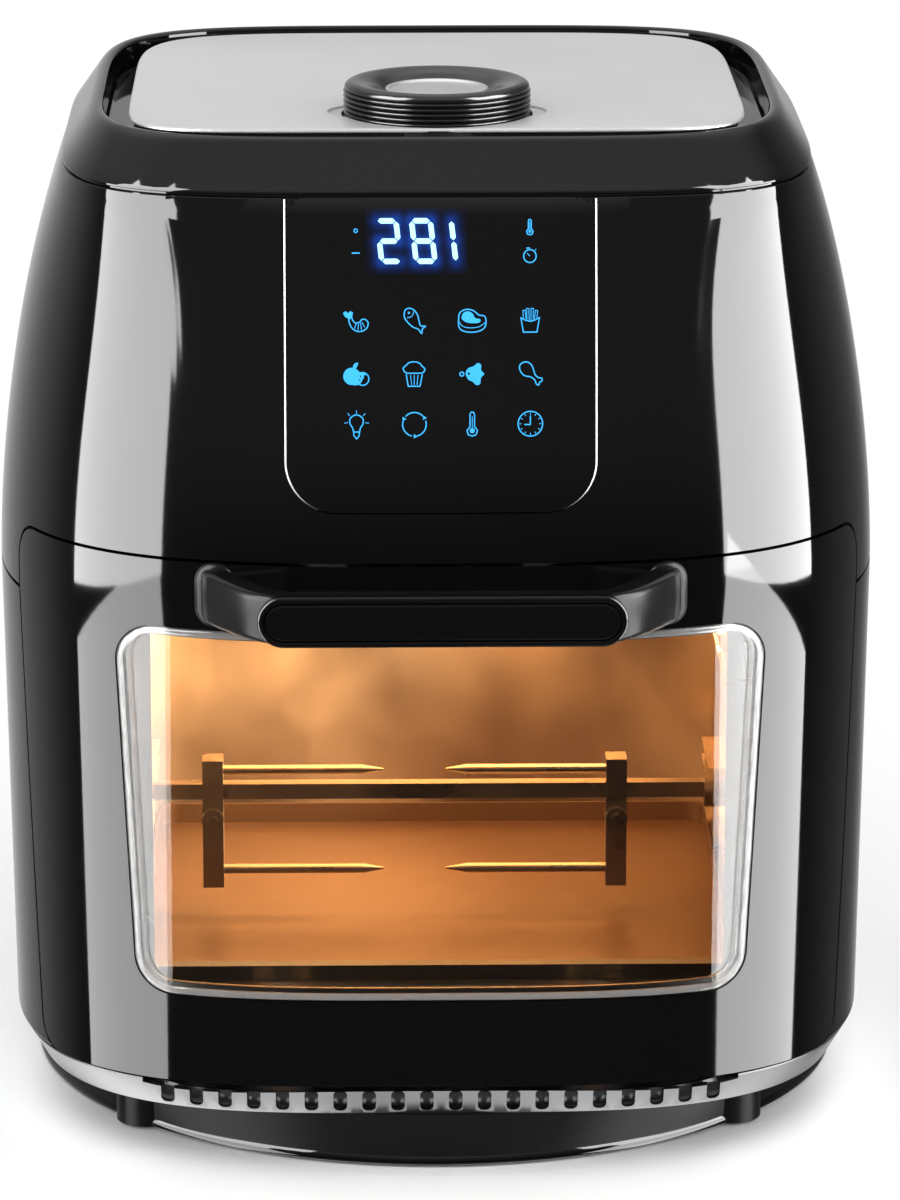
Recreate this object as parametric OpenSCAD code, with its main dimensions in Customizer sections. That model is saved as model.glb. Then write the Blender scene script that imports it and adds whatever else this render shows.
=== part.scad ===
// Digital hot-air oven with a drop-down glass door, a rotisserie spit and a
// touch panel. Millimetres. The origin is the centre of the base at table
// height, the front faces -Y and +Z is up.

/* [Body] */
// Width of the body at its widest, just above the door
body_w = 330; // [326:1:334]
// Depth of the body at its widest, without the handle
body_d = 330; // [328:1:332]
// Height of the rim round the top plate
rim_z = 380; // [379:0.5:382]
// Height of the shoulder where the body starts to draw in
belt_z = 205; // [203:0.5:206]
// Height of the line under the visor
visor_z = 362; // [361:0.5:363]
// Wall of the plastic housings
wall = 2.5; // [2:0.1:2.8]
// Gap at the parting lines
seam = 1.2; // [0.8:0.1:1.5]

/* [Door] */
// Top edge of the door
door_top_z = 231.3; // [230:0.1:232]
// Wall of the door shell
skin = 3; // [2.6:0.1:3.2]
// Half width of the window at its top edge
window_top_x = 117.5; // [114:0.5:118]
// Half width of the window at its bottom edge
window_low_x = 112; // [108:0.5:113]
// Top edge of the window
window_top_z = 206.3; // [204:0.1:207]
// Bottom edge of the window
window_low_z = 67.4; // [66:0.1:70]

/* [Handle] */
// Height of the middle of the handle
handle_z = 219.9; // [219:0.1:221]
// Height of the handle bar
handle_h = 18.6; // [16:0.1:19]
// How far the handle stands in front of the door
handle_reach = 33; // [30:0.5:34]

/* [Control panel] */
// Width of the touch panel
panel_w = 110; // [100:1:112]
// Bottom edge of the touch panel
panel_low_z = 251.2; // [250:0.1:255]
// Radius of its bottom corners
panel_r = 17.5; // [14:0.5:20]

/* [Knob] */
// Radius of the knob
knob_r = 34.4; // [33:0.1:34.6]
// Height of the knob's crest
knob_top_z = 390.6; // [390:0.1:392]
// Travel of the start button in the knob
button_travel = 1.5; // [1:0.1:1.5]

/* [Base] */
// Radius of the round base pan
pan_r = 155.2; // [153:0.1:156]
// Number of air slots in the front of the skirt
slot_count = 20; // [16:1:20]
// Spacing of the air slots
slot_pitch = 10.6; // [10:0.1:10.6]

/* [Oven] */
// Half width of the cooking chamber, inside
oven_x = 118; // [116:0.5:118]
// Height of the spit
spit_z = 104; // [102:1:106]
// Number of blades on the hot-air fan
fan_blades = 10; // [8:1:12]
// Radius of the hot-air fan
fan_r = 66; // [60:1:68]

/* [Hidden] */

steps = 80;
$fn = 48;
eps = 0.01;

// ---- body outline: a superellipse whose size and corners change with height

skirt_z = 34;
lower_taper = 0.02;
shoulder_draw = 24;
shoulder_curve = 1.85;
visor_draw = 15;
back_draw = 5;

function rise(z) = max(0, min(1, (z - belt_z) / (visor_z - belt_z)));
function draw_in(z) = z < belt_z ? (belt_z - z) * lower_taper
    : shoulder_draw * pow(rise(z), shoulder_curve)
        + max(0, visor_draw * (z - visor_z) / (rim_z - visor_z));
function squareness(z) = z < belt_z ? 3.4 - 0.3 * (z - skirt_z) / (belt_z - skirt_z)
    : 3.1 + 1.5 * pow(rise(z), 6);
function on_oval(a, b, power, angle) =
    let (r = pow(pow(abs(cos(angle)) / a, power) + pow(abs(sin(angle)) / b, power), -1 / power))
    [r * cos(angle), r * sin(angle)];
function back_depth(z, off) = body_d / 2 - draw_in(z) - off - back_draw * pow(rise(z), shoulder_curve);
function front_depth(z, off) = body_d / 2 - draw_in(z) - off;
function half_width(z, off) = body_w / 2 - draw_in(z) - off;
function body_ring(z, off) = [for (i = [0 : steps - 1]) let (angle = 360 * i / steps)
    concat(on_oval(half_width(z, off), angle < 180 ? back_depth(z, off) : front_depth(z, off),
        squareness(z), angle), z)];
function plain_ring(z, a, b, power, shift_y = 0) = [for (i = [0 : steps - 1])
    let (p = on_oval(a, b, power, 360 * i / steps)) [p[0], p[1] + shift_y, z]];
function front_y(x, z, off) = let (power = squareness(z)) -front_depth(z, off)
    * pow(1 - pow(min(0.999, abs(x) / half_width(z, off)), power), 1 / power);
function back_y(x, z, off) = let (power = squareness(z)) back_depth(z, off)
    * pow(1 - pow(min(0.999, abs(x) / half_width(z, off)), power), 1 / power);

// Solid or closed loop through rings that run counterclockwise seen from above
module loft(rings, loop = false) {
    n = len(rings[0]);
    m = len(rings);
    sides = [for (j = [0 : loop ? m - 1 : m - 2], i = [0 : n - 1]) let (k = (j + 1) % m, l = (i + 1) % n)
        [j * n + i, k * n + i, k * n + l, j * n + l]];
    ends = loop ? [] : [[for (i = [0 : n - 1]) i], [for (i = [n - 1 : -1 : 0]) (m - 1) * n + i]];
    polyhedron(points = [for (r = rings) each r], faces = concat(sides, ends), convexity = 10);
}

// Solid between two grids of points, rows upward and columns towards +X
module slab(front, back) {
    rows = len(front);
    cols = len(front[0]);
    half = rows * cols;
    function id(side, j, i) = side * half + j * cols + i;
    faces = concat(
        [for (j = [0 : rows - 2], i = [0 : cols - 2])
            [id(0, j, i), id(0, j + 1, i), id(0, j + 1, i + 1), id(0, j, i + 1)]],
        [for (j = [0 : rows - 2], i = [0 : cols - 2])
            [id(1, j, i), id(1, j, i + 1), id(1, j + 1, i + 1), id(1, j + 1, i)]],
        [for (j = [0 : rows - 2]) [id(0, j, 0), id(1, j, 0), id(1, j + 1, 0), id(0, j + 1, 0)]],
        [for (j = [0 : rows - 2]) let (c = cols - 1)
            [id(0, j, c), id(0, j + 1, c), id(1, j + 1, c), id(1, j, c)]],
        [for (i = [0 : cols - 2]) [id(1, 0, i), id(0, 0, i), id(0, 0, i + 1), id(1, 0, i + 1)]],
        [for (i = [0 : cols - 2]) let (r = rows - 1)
            [id(1, r, i), id(1, r, i + 1), id(0, r, i + 1), id(0, r, i)]]);
    points = concat([for (r = front) each r], [for (r = back) each r]);
    polyhedron(points = points, faces = faces, convexity = 6);
}

// Curved sheet that follows the front of the body between two depths
module front_sheet(x, z0, z1, outer, inner, cols, rows) {
    function grid(off) = [for (j = [0 : rows]) let (z = z0 + (z1 - z0) * j / rows)
        [for (i = [0 : cols]) let (px = x * (2 * i / cols - 1)) [px, front_y(px, z, off), z]]];
    slab(grid(outer), grid(inner));
}

module back_sheet(x, z0, z1, outer, inner, cols, rows) {
    function grid(off) = [for (j = [0 : rows]) let (z = z0 + (z1 - z0) * j / rows)
        [for (i = [0 : cols]) let (px = x * (2 * i / cols - 1)) [px, back_y(px, z, off), z]]];
    slab(grid(inner), grid(outer));
}

// Rounded rectangle, width along x and height along y of the sketch
module rounded_rect(w, h, r) {
    square([w, h - 2 * r], center = true);
    square([w - 2 * r, h], center = true);
    for (x = [-1, 1], y = [-1, 1]) translate([x * (w / 2 - r), y * (h / 2 - r)]) circle(r);
}

// Sketch in X and Z made into a bar along Y from y0 to y1
module along_y(y0, y1) {
    translate([0, y1, 0]) rotate([90, 0, 0]) linear_extrude(y1 - y0) children();
}

// Sketch in Y and Z made into a bar along X from x0 to x1
module along_x(x0, x1) {
    translate([x0, 0, 0]) rotate([90, 0, 90]) linear_extrude(x1 - x0) children();
}

module rod_x(x0, x1, r) {
    translate([x0, 0, 0]) rotate([0, 90, 0]) cylinder(r = r, h = x1 - x0);
}

module box(lo, hi) {
    translate(lo) cube(hi - lo);
}

module both_sides() {
    children();
    mirror([1, 0, 0]) children();
}

// ---- door outline seen from the side: a leaning back edge with round corners

door_low_z = 34;
door_edge_top_y = -94;
door_edge_low_y = -109.5;
door_corner_r = 12;
corner_steps = 6;
far_y = -190;
hinge_y = -150.5;
hinge_z = 48.5;

function edge_y(z) = door_edge_low_y
    + (door_edge_top_y - door_edge_low_y) * (z - door_low_z) / (door_top_z - door_low_z);
function corner(cy, cz, r, a0, a1) = [for (i = [0 : corner_steps])
    let (a = a0 + (a1 - a0) * i / corner_steps) [cy + r * cos(a), cz + r * sin(a)]];
module door_outline(grow) {
    r = door_corner_r + grow;
    low = door_low_z + door_corner_r;
    high = door_top_z - door_corner_r;
    polygon(concat([[far_y, door_low_z - grow]],
        corner(edge_y(low) - door_corner_r, low, r, -90, 0),
        corner(edge_y(high) - door_corner_r, high, r, 0, 90),
        [[far_y, door_top_z + grow]]));
}
module door_prism(grow) {
    along_x(-200, 200) door_outline(grow);
}

// Window outline: a trapezoid with round corners
window_r = 14;
module window_outline(grow) {
    r = window_r + grow;
    polygon(concat(
        corner(window_low_x - window_r, window_low_z + window_r, r, -90, 0),
        corner(window_top_x - window_r, window_top_z - window_r, r, 0, 90),
        corner(-window_top_x + window_r, window_top_z - window_r, r, 90, 180),
        corner(-window_low_x + window_r, window_low_z + window_r, r, 180, 270)));
}

// ---- housings

rim_shift_y = -2.5;
channel_x = 123.4;
channel_y = 120.9;
floor_x = 108;
floor_y = 101.5;
channel_power = 4.4;
channel_floor_z = 369;
visor_lip = 1;
outer_levels = [207.6, 232, 256, 280, 304, 326, 346, 354];
inner_levels = [346, 304, 256, 207.6];

panel_gap = 0.9;
module panel_outline(grow) {
    w = panel_w / 2 + grow;
    low = panel_low_z - grow;
    r = panel_r + grow;
    polygon(concat([[w, visor_z - 0.6 + grow], [-w, visor_z - 0.6 + grow]],
        corner(-w + r, low + r, r, 180, 270),
        corner(w - r, low + r, r, 270, 360)));
}

grille_x = 62;
grille_low_z = 228;
grille_top_z = 318;
grille_rim = 5;

module upper_housing() {
    color([0.03, 0.03, 0.035]) difference() {
        loft(concat(
            [for (z = outer_levels) body_ring(z, 0)],
            [body_ring(visor_z - eps, 0), body_ring(visor_z, -visor_lip), body_ring(371, -visor_lip),
             body_ring(378, -visor_lip), body_ring(rim_z - 0.5, -0.3), body_ring(rim_z, 0.8),
             plain_ring(rim_z - 0.6, channel_x, channel_y, channel_power, rim_shift_y),
             plain_ring(channel_floor_z, channel_x - 0.6, channel_y - 0.6, channel_power, rim_shift_y),
             plate_ring(channel_floor_z, floor_x, floor_y),
             plate_ring(channel_floor_z - wall, floor_x, floor_y),
             plain_ring(channel_floor_z - wall, channel_x + 3, channel_y + 1, channel_power, rim_shift_y)],
            [for (z = inner_levels) body_ring(z, wall)]), loop = true);
        door_prism(seam);
        along_y(-180, -120) panel_outline(panel_gap);
        along_y(130, 180) translate([0, (grille_low_z + grille_top_z) / 2])
            rounded_rect(2 * (grille_x - grille_rim), grille_top_z - grille_low_z - 2 * grille_rim, 5);
    }
}

seat_z = 206.4;
lower_levels = [37, 70, 110, 150, 180];
inlet_x = 70;
inlet_z = 62;
inlet_r = 9;

module lower_housing() {
    color([0.03, 0.03, 0.035]) difference() {
        loft(concat(
            [body_ring(skirt_z, 1)],
            [for (z = lower_levels) body_ring(z, 0)],
            [body_ring(seat_z, 0), body_ring(seat_z, wall), body_ring(110, wall), body_ring(skirt_z, wall)]),
            loop = true);
        door_prism(seam);
        translate([inlet_x, 120, inlet_z]) rotate([-90, 0, 0]) cylinder(r = inlet_r + 0.1, h = 60);
    }
}

skirt_top_z = 32.6;
skirt_low_z = 20.8;
skirt_lip_z = 40;
door_sweep_r = 19.2;
slot_w = 5;
slot_low_z = 24.4;
slot_top_z = 32;

module base_skirt() {
    color([0.05, 0.05, 0.055]) difference() {
        loft([body_ring(skirt_low_z, 7.8), body_ring(skirt_top_z, 1.4), body_ring(skirt_top_z, 2.9),
              body_ring(skirt_lip_z, 2.9), body_ring(skirt_lip_z, 4.9), body_ring(29, 5.4),
              body_ring(skirt_low_z, 10.4)], loop = true);
        box([-200, -200, skirt_top_z - eps], [200, edge_y(skirt_z) + 6, 60]);
        translate([0, hinge_y, hinge_z]) rod_x(-110, 110, door_sweep_r);
        for (i = [0 : slot_count - 1]) translate([(i - (slot_count - 1) / 2) * slot_pitch, 0, 0])
            along_y(-175, -120) {
                translate([-slot_w / 2, slot_low_z + slot_w / 2])
                    square([slot_w, slot_top_z - slot_low_z - slot_w]);
                for (z = [slot_low_z + slot_w / 2, slot_top_z - slot_w / 2]) translate([0, z])
                    circle(slot_w / 2);
            }
    }
}

foot_x = 110;
foot_y = 100.5;
foot_r = 11.5;
pad_r = 7.5;
pan_top_z = 20.6;
pan_lip_z = 0.8;
pan_floor_z = 4;
pan_t = 2.6;

module base_pan() {
    color([0.035, 0.035, 0.04]) difference() {
        union() {
            rotate_extrude($fn = 96) polygon([[0, pan_floor_z], [150.8, pan_floor_z], [151.3, 1.8],
                [pan_r - 3, pan_lip_z], [pan_r, pan_lip_z + 0.6], [pan_r, 3.4], [pan_r - 0.7, 4.2],
                [pan_r, pan_top_z - 0.6], [pan_r - 0.6, pan_top_z], [pan_r - 3.2, pan_top_z],
                [pan_r - 3.2, pan_floor_z + pan_t], [0, pan_floor_z + pan_t]]);
            for (x = [-1, 1], y = [-1, 1]) translate([x * foot_x, y * foot_y, pan_lip_z])
                cylinder(r = foot_r, h = pan_top_z - pan_lip_z);
        }
        for (x = [-6 : 6], y = [-1, 1]) translate([x * 14, y * 45, 0]) box([-2.5, -20, 1], [2.5, 20, 12]);
        for (x = [-1, 1], y = [-1, 1]) translate([x * foot_x, y * foot_y, 0]) {
            cylinder(r = pad_r + 0.05, h = 5);
            translate([0, 0, 13]) cylinder(r = 4, h = 12);
        }
    }
}

module rubber_feet() {
    color([0.02, 0.02, 0.02]) for (x = [-1, 1], y = [-1, 1]) translate([x * foot_x, y * foot_y, 0])
        cylinder(r = pad_r, h = 5);
}

chassis_z = 20.8;
chassis_t = 2.2;
post_x = 92;
post_top_z = 47;

module chassis_plate() {
    color([0.5, 0.5, 0.52]) difference() {
        union() {
            loft([plain_ring(chassis_z, 149, 149, 3.4), plain_ring(chassis_z + chassis_t, 149, 149, 3.4)]);
            for (x = [-1, 1], y = [-70, 92]) translate([x * post_x, y, chassis_z])
                cylinder(r = 6, h = post_top_z - chassis_z);
        }
        for (x = [-6 : 6], y = [-1, 1]) translate([x * 14, y * 45, 10]) box([-2.5, -20, 0], [2.5, 20, 20]);
        for (x = [-1, 1], y = [-1, 1]) translate([x * foot_x, y * foot_y, 10]) cylinder(r = 2, h = 20);
    }
}

plate_x = 115;
plate_y = 108;
plate_shift_y = 2;
plate_front_power = 8;
plate_back_power = 5;
plate_top_z = 379;
function plate_ring(z, a, b) = [for (i = [0 : steps - 1]) let (angle = 360 * i / steps,
    p = on_oval(a, b, angle < 180 ? plate_back_power : plate_front_power, angle))
    [p[0], p[1] + plate_shift_y, z]];
knob_y = -67;
collar_r = 36.4;
scoop_r = 13.4;
scoop_x = 26.6;

module top_plate() {
    color([0.72, 0.72, 0.73]) difference() {
        loft([plate_ring(channel_floor_z + 0.1, plate_x - 2, plate_y - 2),
              plate_ring(plate_top_z - 3, plate_x, plate_y),
              plate_ring(plate_top_z - 1.2, plate_x - 0.3, plate_y - 0.3),
              plate_ring(plate_top_z, plate_x - 2.2, plate_y - 2.2)]);
        loft([plate_ring(360, plate_x - 6, plate_y - 6),
              plate_ring(plate_top_z - 2.5, plate_x - 6, plate_y - 6)]);
        translate([0, knob_y, 360]) cylinder(r = collar_r + 0.05, h = 40);
        for (x = [-scoop_x, scoop_x]) translate([x, knob_y, plate_top_z - 0.9]) cylinder(r = scoop_r, h = 5);
    }
}

collar_seat_z = 376.8;
shaft_r = 3;

module knob_collar() {
    color([0.6, 0.6, 0.62]) translate([0, knob_y, 0]) difference() {
        union() {
            translate([0, 0, 371.5]) cylinder(r = collar_r - 6, h = 4);
            translate([0, 0, 374]) cylinder(r = collar_r, h = plate_top_z - 1 - 374);
        }
        translate([0, 0, collar_seat_z]) cylinder(r = knob_r + 0.6, h = 10);
        translate([0, 0, 360]) cylinder(r = 6, h = 30);
    }
}

module rear_grille() {
    color([0.04, 0.04, 0.045]) difference() {
        back_sheet(grille_x, grille_low_z, grille_top_z, wall + 1.6, wall + 3.6, 12, 8);
        for (i = [0 : 8], s = [-1, 1]) translate([s * 27, 0, grille_low_z + 11 + i * 8.5])
            along_y(120, 180) square([46, 4], center = true);
    }
}

module cord_inlet() {
    color([0.02, 0.02, 0.02]) translate([inlet_x, back_y(inlet_x, inlet_z, wall), inlet_z])
        rotate([-90, 0, 0]) difference() {
            union() {
                translate([0, 0, -4]) cylinder(r = inlet_r, h = 9);
                translate([0, 0, -6]) cylinder(r = inlet_r + 3, h = 2);
                translate([0, 0, 5]) cylinder(r1 = inlet_r, r2 = 6, h = 4);
            }
            translate([0, 0, -10]) cylinder(r = 3.6, h = 30);
        }
}

module screw(r, length) {
    cylinder(r = r, h = length);
    difference() {
        translate([0, 0, -1.6]) cylinder(r = 1.9 * r, h = 1.6);
        translate([0, 0, -1.7]) for (a = [0, 90]) rotate(a)
            box([-1.4 * r, -0.3 * r, 0], [1.4 * r, 0.3 * r, 0.8]);
    }
}

module housing_screws() {
    color([0.55, 0.55, 0.57]) for (x = [-1, 1], y = [-1, 1]) translate([x * foot_x, y * foot_y, 17.8])
        screw(1.9, 12);
}

// ---- touch panel

glass_t = 2;
module control_panel() {
    color([0.01, 0.01, 0.012]) intersection() {
        front_sheet(60, 248, 364, 0, glass_t, 12, 10);
        along_y(-180, -120) panel_outline(0);
    }
}

module panel_trim() {
    color([0.75, 0.76, 0.78]) intersection() {
        front_sheet(60, 248, 364, -0.15, glass_t, 12, 10);
        along_y(-180, -120) difference() {
            panel_outline(panel_gap - 0.1);
            panel_outline(0.1);
            translate([-100, visor_z - 0.7]) square([200, 20]);
        }
    }
}

board_lean = 11;
module on_panel() {
    translate([0, -154, 258]) rotate([-board_lean, 0, 0]) children();
}

module display_board() {
    color([0.08, 0.32, 0.16]) on_panel() difference() {
        union() {
            box([-49, 0, 0], [49, 1.6, 94]);
            for (x = [-34, 0, 34]) box([x - 7, 1.6, 8], [x + 7, 5, 20]);
            box([-20, 1.6, 40], [20, 4, 60]);
        }
        for (x = [-44, 44], z = [5, 89]) translate([x, -5, z]) rotate([-90, 0, 0]) cylinder(r = 1.6, h = 20);
    }
}

module display_module() {
    color([0.35, 0.75, 0.95]) on_panel() box([-30, -2.6, 66], [24, -0.1, 88]);
}

encoder_z = 352;
module encoder() {
    color([0.3, 0.32, 0.34]) translate([0, knob_y, 0]) difference() {
        union() {
            box([-7, -7, encoder_z], [7, 7, 360]);
            translate([0, 0, 360]) cylinder(r = 4.4, h = 7);
            box([-18, -14, encoder_z - 1.6], [18, 14, encoder_z]);
        }
        translate([0, 0, encoder_z + 1]) cylinder(r = shaft_r + 0.05, h = 20);
    }
}

tray_z = 306;
module board_tray() {
    color([0.62, 0.63, 0.65]) difference() {
        union() {
            box([-108, -98, tray_z], [108, 98, tray_z + 1.2]);
            for (x = [-108, 106.8]) box([x, -98, tray_z], [x + 1.2, 98, tray_z + 10]);
        }
        translate([0, 20, tray_z - 5]) cylinder(r = 14, h = 20);
        for (x = [-80 : 20 : 80]) translate([x, 80, tray_z - 5]) cylinder(r = 4, h = 20);
    }
}

module power_board() {
    color([0.1, 0.35, 0.18]) {
        box([-90, -88, 312], [90, -8, 313.6]);
        for (x = [-84, 84], y = [-82, -14]) translate([x, y, tray_z + 1.2])
            cylinder(r = 3, h = 312 - tray_z - 1.2);
        for (x = [-70, -42]) box([x, -76, 313.6], [x + 20, -48, 329]);
        box([-10, -72, 313.6], [26, -40, 337]);
        for (x = [42, 58, 74]) translate([x, -30, 313.6]) cylinder(r = 6, h = 20);
        box([36, -78, 313.6], [72, -62, 324]);
    }
}

// ---- cooking chamber

oven_front_y = -103;
oven_back_y = 112;
oven_low_z = 52;
oven_top_z = 239;
steel_t = 1;
corner_in = 12;
fan_y = 6;
lamp_y = 60;
lamp_z = 176;
spit_y = -15;
spit_side = 6;

module chamber_sketch(grow) {
    translate([0, (oven_low_z + oven_top_z) / 2])
        rounded_rect(2 * (oven_x + grow), oven_top_z - oven_low_z + 2 * grow, corner_in + grow);
}

module cooking_chamber() {
    color([0.66, 0.65, 0.62]) difference() {
        along_y(oven_front_y, oven_back_y + steel_t) chamber_sketch(steel_t);
        along_y(oven_front_y - 1, oven_back_y) chamber_sketch(0);
        translate([0, spit_y, spit_z]) rod_x(oven_x - 5, oven_x + 5, 8.05);
        translate([0, lamp_y, lamp_z]) rod_x(oven_x - 5, oven_x + 5, 15);
        translate([0, fan_y, oven_top_z - 3]) cylinder(r = 7, h = 10);
        for (x = [-6, 6]) translate([x, fan_y + 81, oven_top_z - 3]) cylinder(r = element_r + 0.3, h = 10);
        for (x = [-30 : 10 : 30]) translate([x, oven_back_y - 3, 225]) rotate([-90, 0, 0])
            cylinder(r = 3, h = 10);
        translate([-60, oven_back_y - 3, 190]) rotate([-90, 0, 0]) cylinder(r = 2.5, h = 10);
    }
}

module front_flange() {
    color([0.6, 0.6, 0.6]) difference() {
        along_y(oven_front_y - 1.5, oven_front_y - 0.05) translate([0, 140.5]) rounded_rect(276, 195, 12);
        along_y(oven_front_y - 3, oven_front_y + 2) chamber_sketch(0);
        for (x = [-1, 1], z = [48, 235]) translate([x * 128, -110, z]) rotate([-90, 0, 0])
            cylinder(r = 2, h = 12);
    }
}

rail_levels = [84, 152, 192];
module rack_rail() {
    box([oven_x - 1.1, -92, 74], [oven_x - 0.1, 96, 200]);
    for (z = rail_levels) {
        box([oven_x - 8, -92, z], [oven_x - 1.1, 96, z + 1.2]);
        box([oven_x - 8, -92, z + 7], [oven_x - 1.1, 96, z + 8.2]);
    }
}

module right_rack_rail() {
    color([0.7, 0.7, 0.7]) difference() {
        rack_rail();
        translate([0, spit_y, spit_z]) rod_x(oven_x - 20, oven_x + 5, 12);
        translate([0, lamp_y, lamp_z]) rod_x(oven_x - 20, oven_x + 5, 18);
    }
}

module left_rack_rail() {
    color([0.7, 0.7, 0.7]) mirror([1, 0, 0]) difference() {
        rack_rail();
        translate([0, spit_y, spit_z]) box([oven_x - 20, -9, -9], [oven_x + 5, 9, 9]);
    }
}

drip_x = 112;
drip_t = 1.2;
drip_low_z = 53;
drip_h = 9;
module drip_tray() {
    color([0.5, 0.5, 0.5]) difference() {
        along_y(-99, 106) translate([0, drip_low_z + drip_h / 2]) rounded_rect(2 * drip_x, drip_h, 3);
        translate([0, 3.5, drip_low_z + drip_t]) linear_extrude(30)
            rounded_rect(2 * (drip_x - drip_t), 205 - 2 * drip_t, 8);
    }
}

guard_z = 206;
guard_pitch = 13.5;
guard_hole_r = 4.2;
module fan_guard() {
    color([0.68, 0.68, 0.68]) difference() {
        union() {
            translate([0, 4.5, guard_z]) linear_extrude(1) rounded_rect(2 * oven_x - 1, 214, 10);
            for (x = [-1, 1]) box([x * 108 - 4, -60, guard_z + 1], [x * 108 + 4, 70, guard_z + 2.6]);
        }
        for (ring = [1 : 5]) for (k = [0 : 6 * ring - 1])
            translate([0, fan_y, guard_z - 2]) rotate(60 * k / ring) translate([ring * guard_pitch, 0, 0])
                cylinder(r = guard_hole_r, h = 8, $fn = 16);
    }
}

element_z = 217;
element_r = 3.2;
module element_arc(r, a0, a1) {
    translate([0, fan_y, element_z]) rotate(a0) rotate_extrude(angle = a1 - a0, $fn = 96)
        translate([r, 0]) circle(element_r, $fn = 20);
}

module heating_element() {
    color([0.25, 0.22, 0.2]) {
        element_arc(88, 94, 446);
        element_arc(74, 96, 444);
        for (s = [-1, 1]) translate([s * 6, fan_y + 81, element_z]) {
            cylinder(r = element_r, h = 30);
            rotate([90, 0, 0]) cylinder(r = element_r, h = 16, center = true);
        }
    }
}

module element_clips() {
    color([0.6, 0.6, 0.6]) for (a = [0, 180, 270]) translate([0, fan_y, 0]) rotate(a) {
        box([69, -4, element_z + element_r + 0.1], [93, 4, element_z + element_r + 1.1]);
        box([80, -4, element_z + element_r + 1.1], [82, 4, oven_top_z - 0.1]);
    }
}

bridge_z = 264;
module motor_bracket() {
    color([0.62, 0.63, 0.65]) translate([0, fan_y, 0]) difference() {
        union() {
            box([-60, -14, bridge_z], [60, 14, bridge_z + 2]);
            box([-14, -60, bridge_z], [14, 60, bridge_z + 2]);
            for (a = [0 : 90 : 270]) rotate(a) {
                box([56, -8, oven_top_z + steel_t + 0.1], [58, 8, bridge_z]);
                box([56, -8, oven_top_z + steel_t + 0.1], [68, 8, oven_top_z + steel_t + 2.1]);
            }
        }
        translate([0, 0, bridge_z - 5]) cylinder(r = 9, h = 20);
    }
}

motor_r = 31;
motor_shaft_r = 3;
module fan_motor() {
    color([0.45, 0.46, 0.48]) translate([0, fan_y, 0]) difference() {
        union() {
            translate([0, 0, bridge_z + 2.1]) cylinder(r = motor_r, h = 26);
            translate([0, 0, bridge_z + 28.1]) cylinder(r = motor_r - 6, h = 6);
            translate([0, 0, bridge_z - 4]) cylinder(r = 8.5, h = 6.2);
            box([-34, -20, bridge_z + 6], [34, 20, bridge_z + 22]);
        }
        translate([0, 0, bridge_z - 10]) cylinder(r = motor_shaft_r + 0.05, h = 60);
    }
}

module blades(count, r0, r1, z0, z1, lean) {
    for (k = [0 : count - 1]) rotate(360 * k / count) translate([r0, 0, z0]) rotate([lean, 0, 0])
        box([0, -0.5, 0], [r1 - r0, 0.5, z1 - z0]);
}

module hot_air_fan() {
    color([0.7, 0.7, 0.7]) translate([0, fan_y, 0]) difference() {
        union() {
            translate([0, 0, 233.5]) cylinder(r = fan_r, h = 1);
            translate([0, 0, 223.5]) cylinder(r = 8, h = 10.2);
            blades(fan_blades, 22, fan_r - 1, 222.5, 233.8, 0);
        }
        translate([0, 0, 220]) cylinder(r = motor_shaft_r + 0.02, h = 30);
    }
}

module cooling_fan() {
    color([0.72, 0.72, 0.72]) translate([0, fan_y, 0]) {
        difference() {
            union() {
                translate([0, 0, 245]) cylinder(r = 7, h = 11);
                translate([0, 0, 245]) cylinder(r = 24, h = 1);
                blades(8, 6, 46, 245.4, 256, 0);
            }
            translate([0, 0, 240]) cylinder(r = motor_shaft_r + 0.02, h = 30);
        }
        translate([0, 0, 222]) cylinder(r = motor_shaft_r, h = 78);
    }
}

module exhaust_duct() {
    color([0.62, 0.63, 0.65]) difference() {
        box([-44, oven_back_y + steel_t + 0.1, 208], [44, 152, 238]);
        box([-43, oven_back_y - 5, 209], [43, 160, 237]);
    }
}

module insulation() {
    color([0.85, 0.8, 0.6]) difference() {
        union() {
            for (x = [-131, oven_x + steel_t + 0.2]) box([x, -98, 56], [x + 11.8, 112, 200]);
        }
        translate([0, spit_y, spit_z]) rod_x(oven_x, oven_x + 20, 37);
        translate([0, lamp_y, lamp_z]) rod_x(oven_x, oven_x + 20, 22);
    }
}

module lamp_cover() {
    color([0.9, 0.92, 0.95, 0.5]) translate([0, lamp_y, lamp_z]) difference() {
        union() {
            rod_x(oven_x - 4, oven_x + steel_t, 14.8);
            rod_x(oven_x - 2, oven_x - 0.1, 17.5);
        }
        rod_x(oven_x - 2.5, oven_x + 5, 12.6);
    }
}

module lamp_holder() {
    color([0.9, 0.9, 0.88]) translate([0, lamp_y, lamp_z]) difference() {
        union() {
            rod_x(oven_x + steel_t + 0.1, oven_x + steel_t + 2, 20);
            rod_x(oven_x + steel_t + 2, oven_x + 26, 13);
        }
        rod_x(oven_x - 5, oven_x + 20, 11);
    }
}

lamp_bulb_r = 7.5;
module oven_lamp() {
    color([1, 0.9, 0.7, 0.6]) translate([oven_x + 5, lamp_y, lamp_z]) rotate([0, 90, 0]) rotate_extrude()
        polygon(concat([for (a = [-90 : 15 : 30]) [lamp_bulb_r * cos(a), lamp_bulb_r * sin(a)]],
            [[6, 9], [6, 14.5], [0, 14.5]]));
}

module temperature_sensor() {
    color([0.7, 0.7, 0.7]) translate([-60, 0, 190]) {
        translate([0, oven_back_y - 26, 0]) rotate([-90, 0, 0]) cylinder(r = 2.4, h = 40);
        translate([0, oven_back_y + steel_t + 0.1, 0]) rotate([-90, 0, 0]) cylinder(r = 6, h = 3);
    }
}

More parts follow.
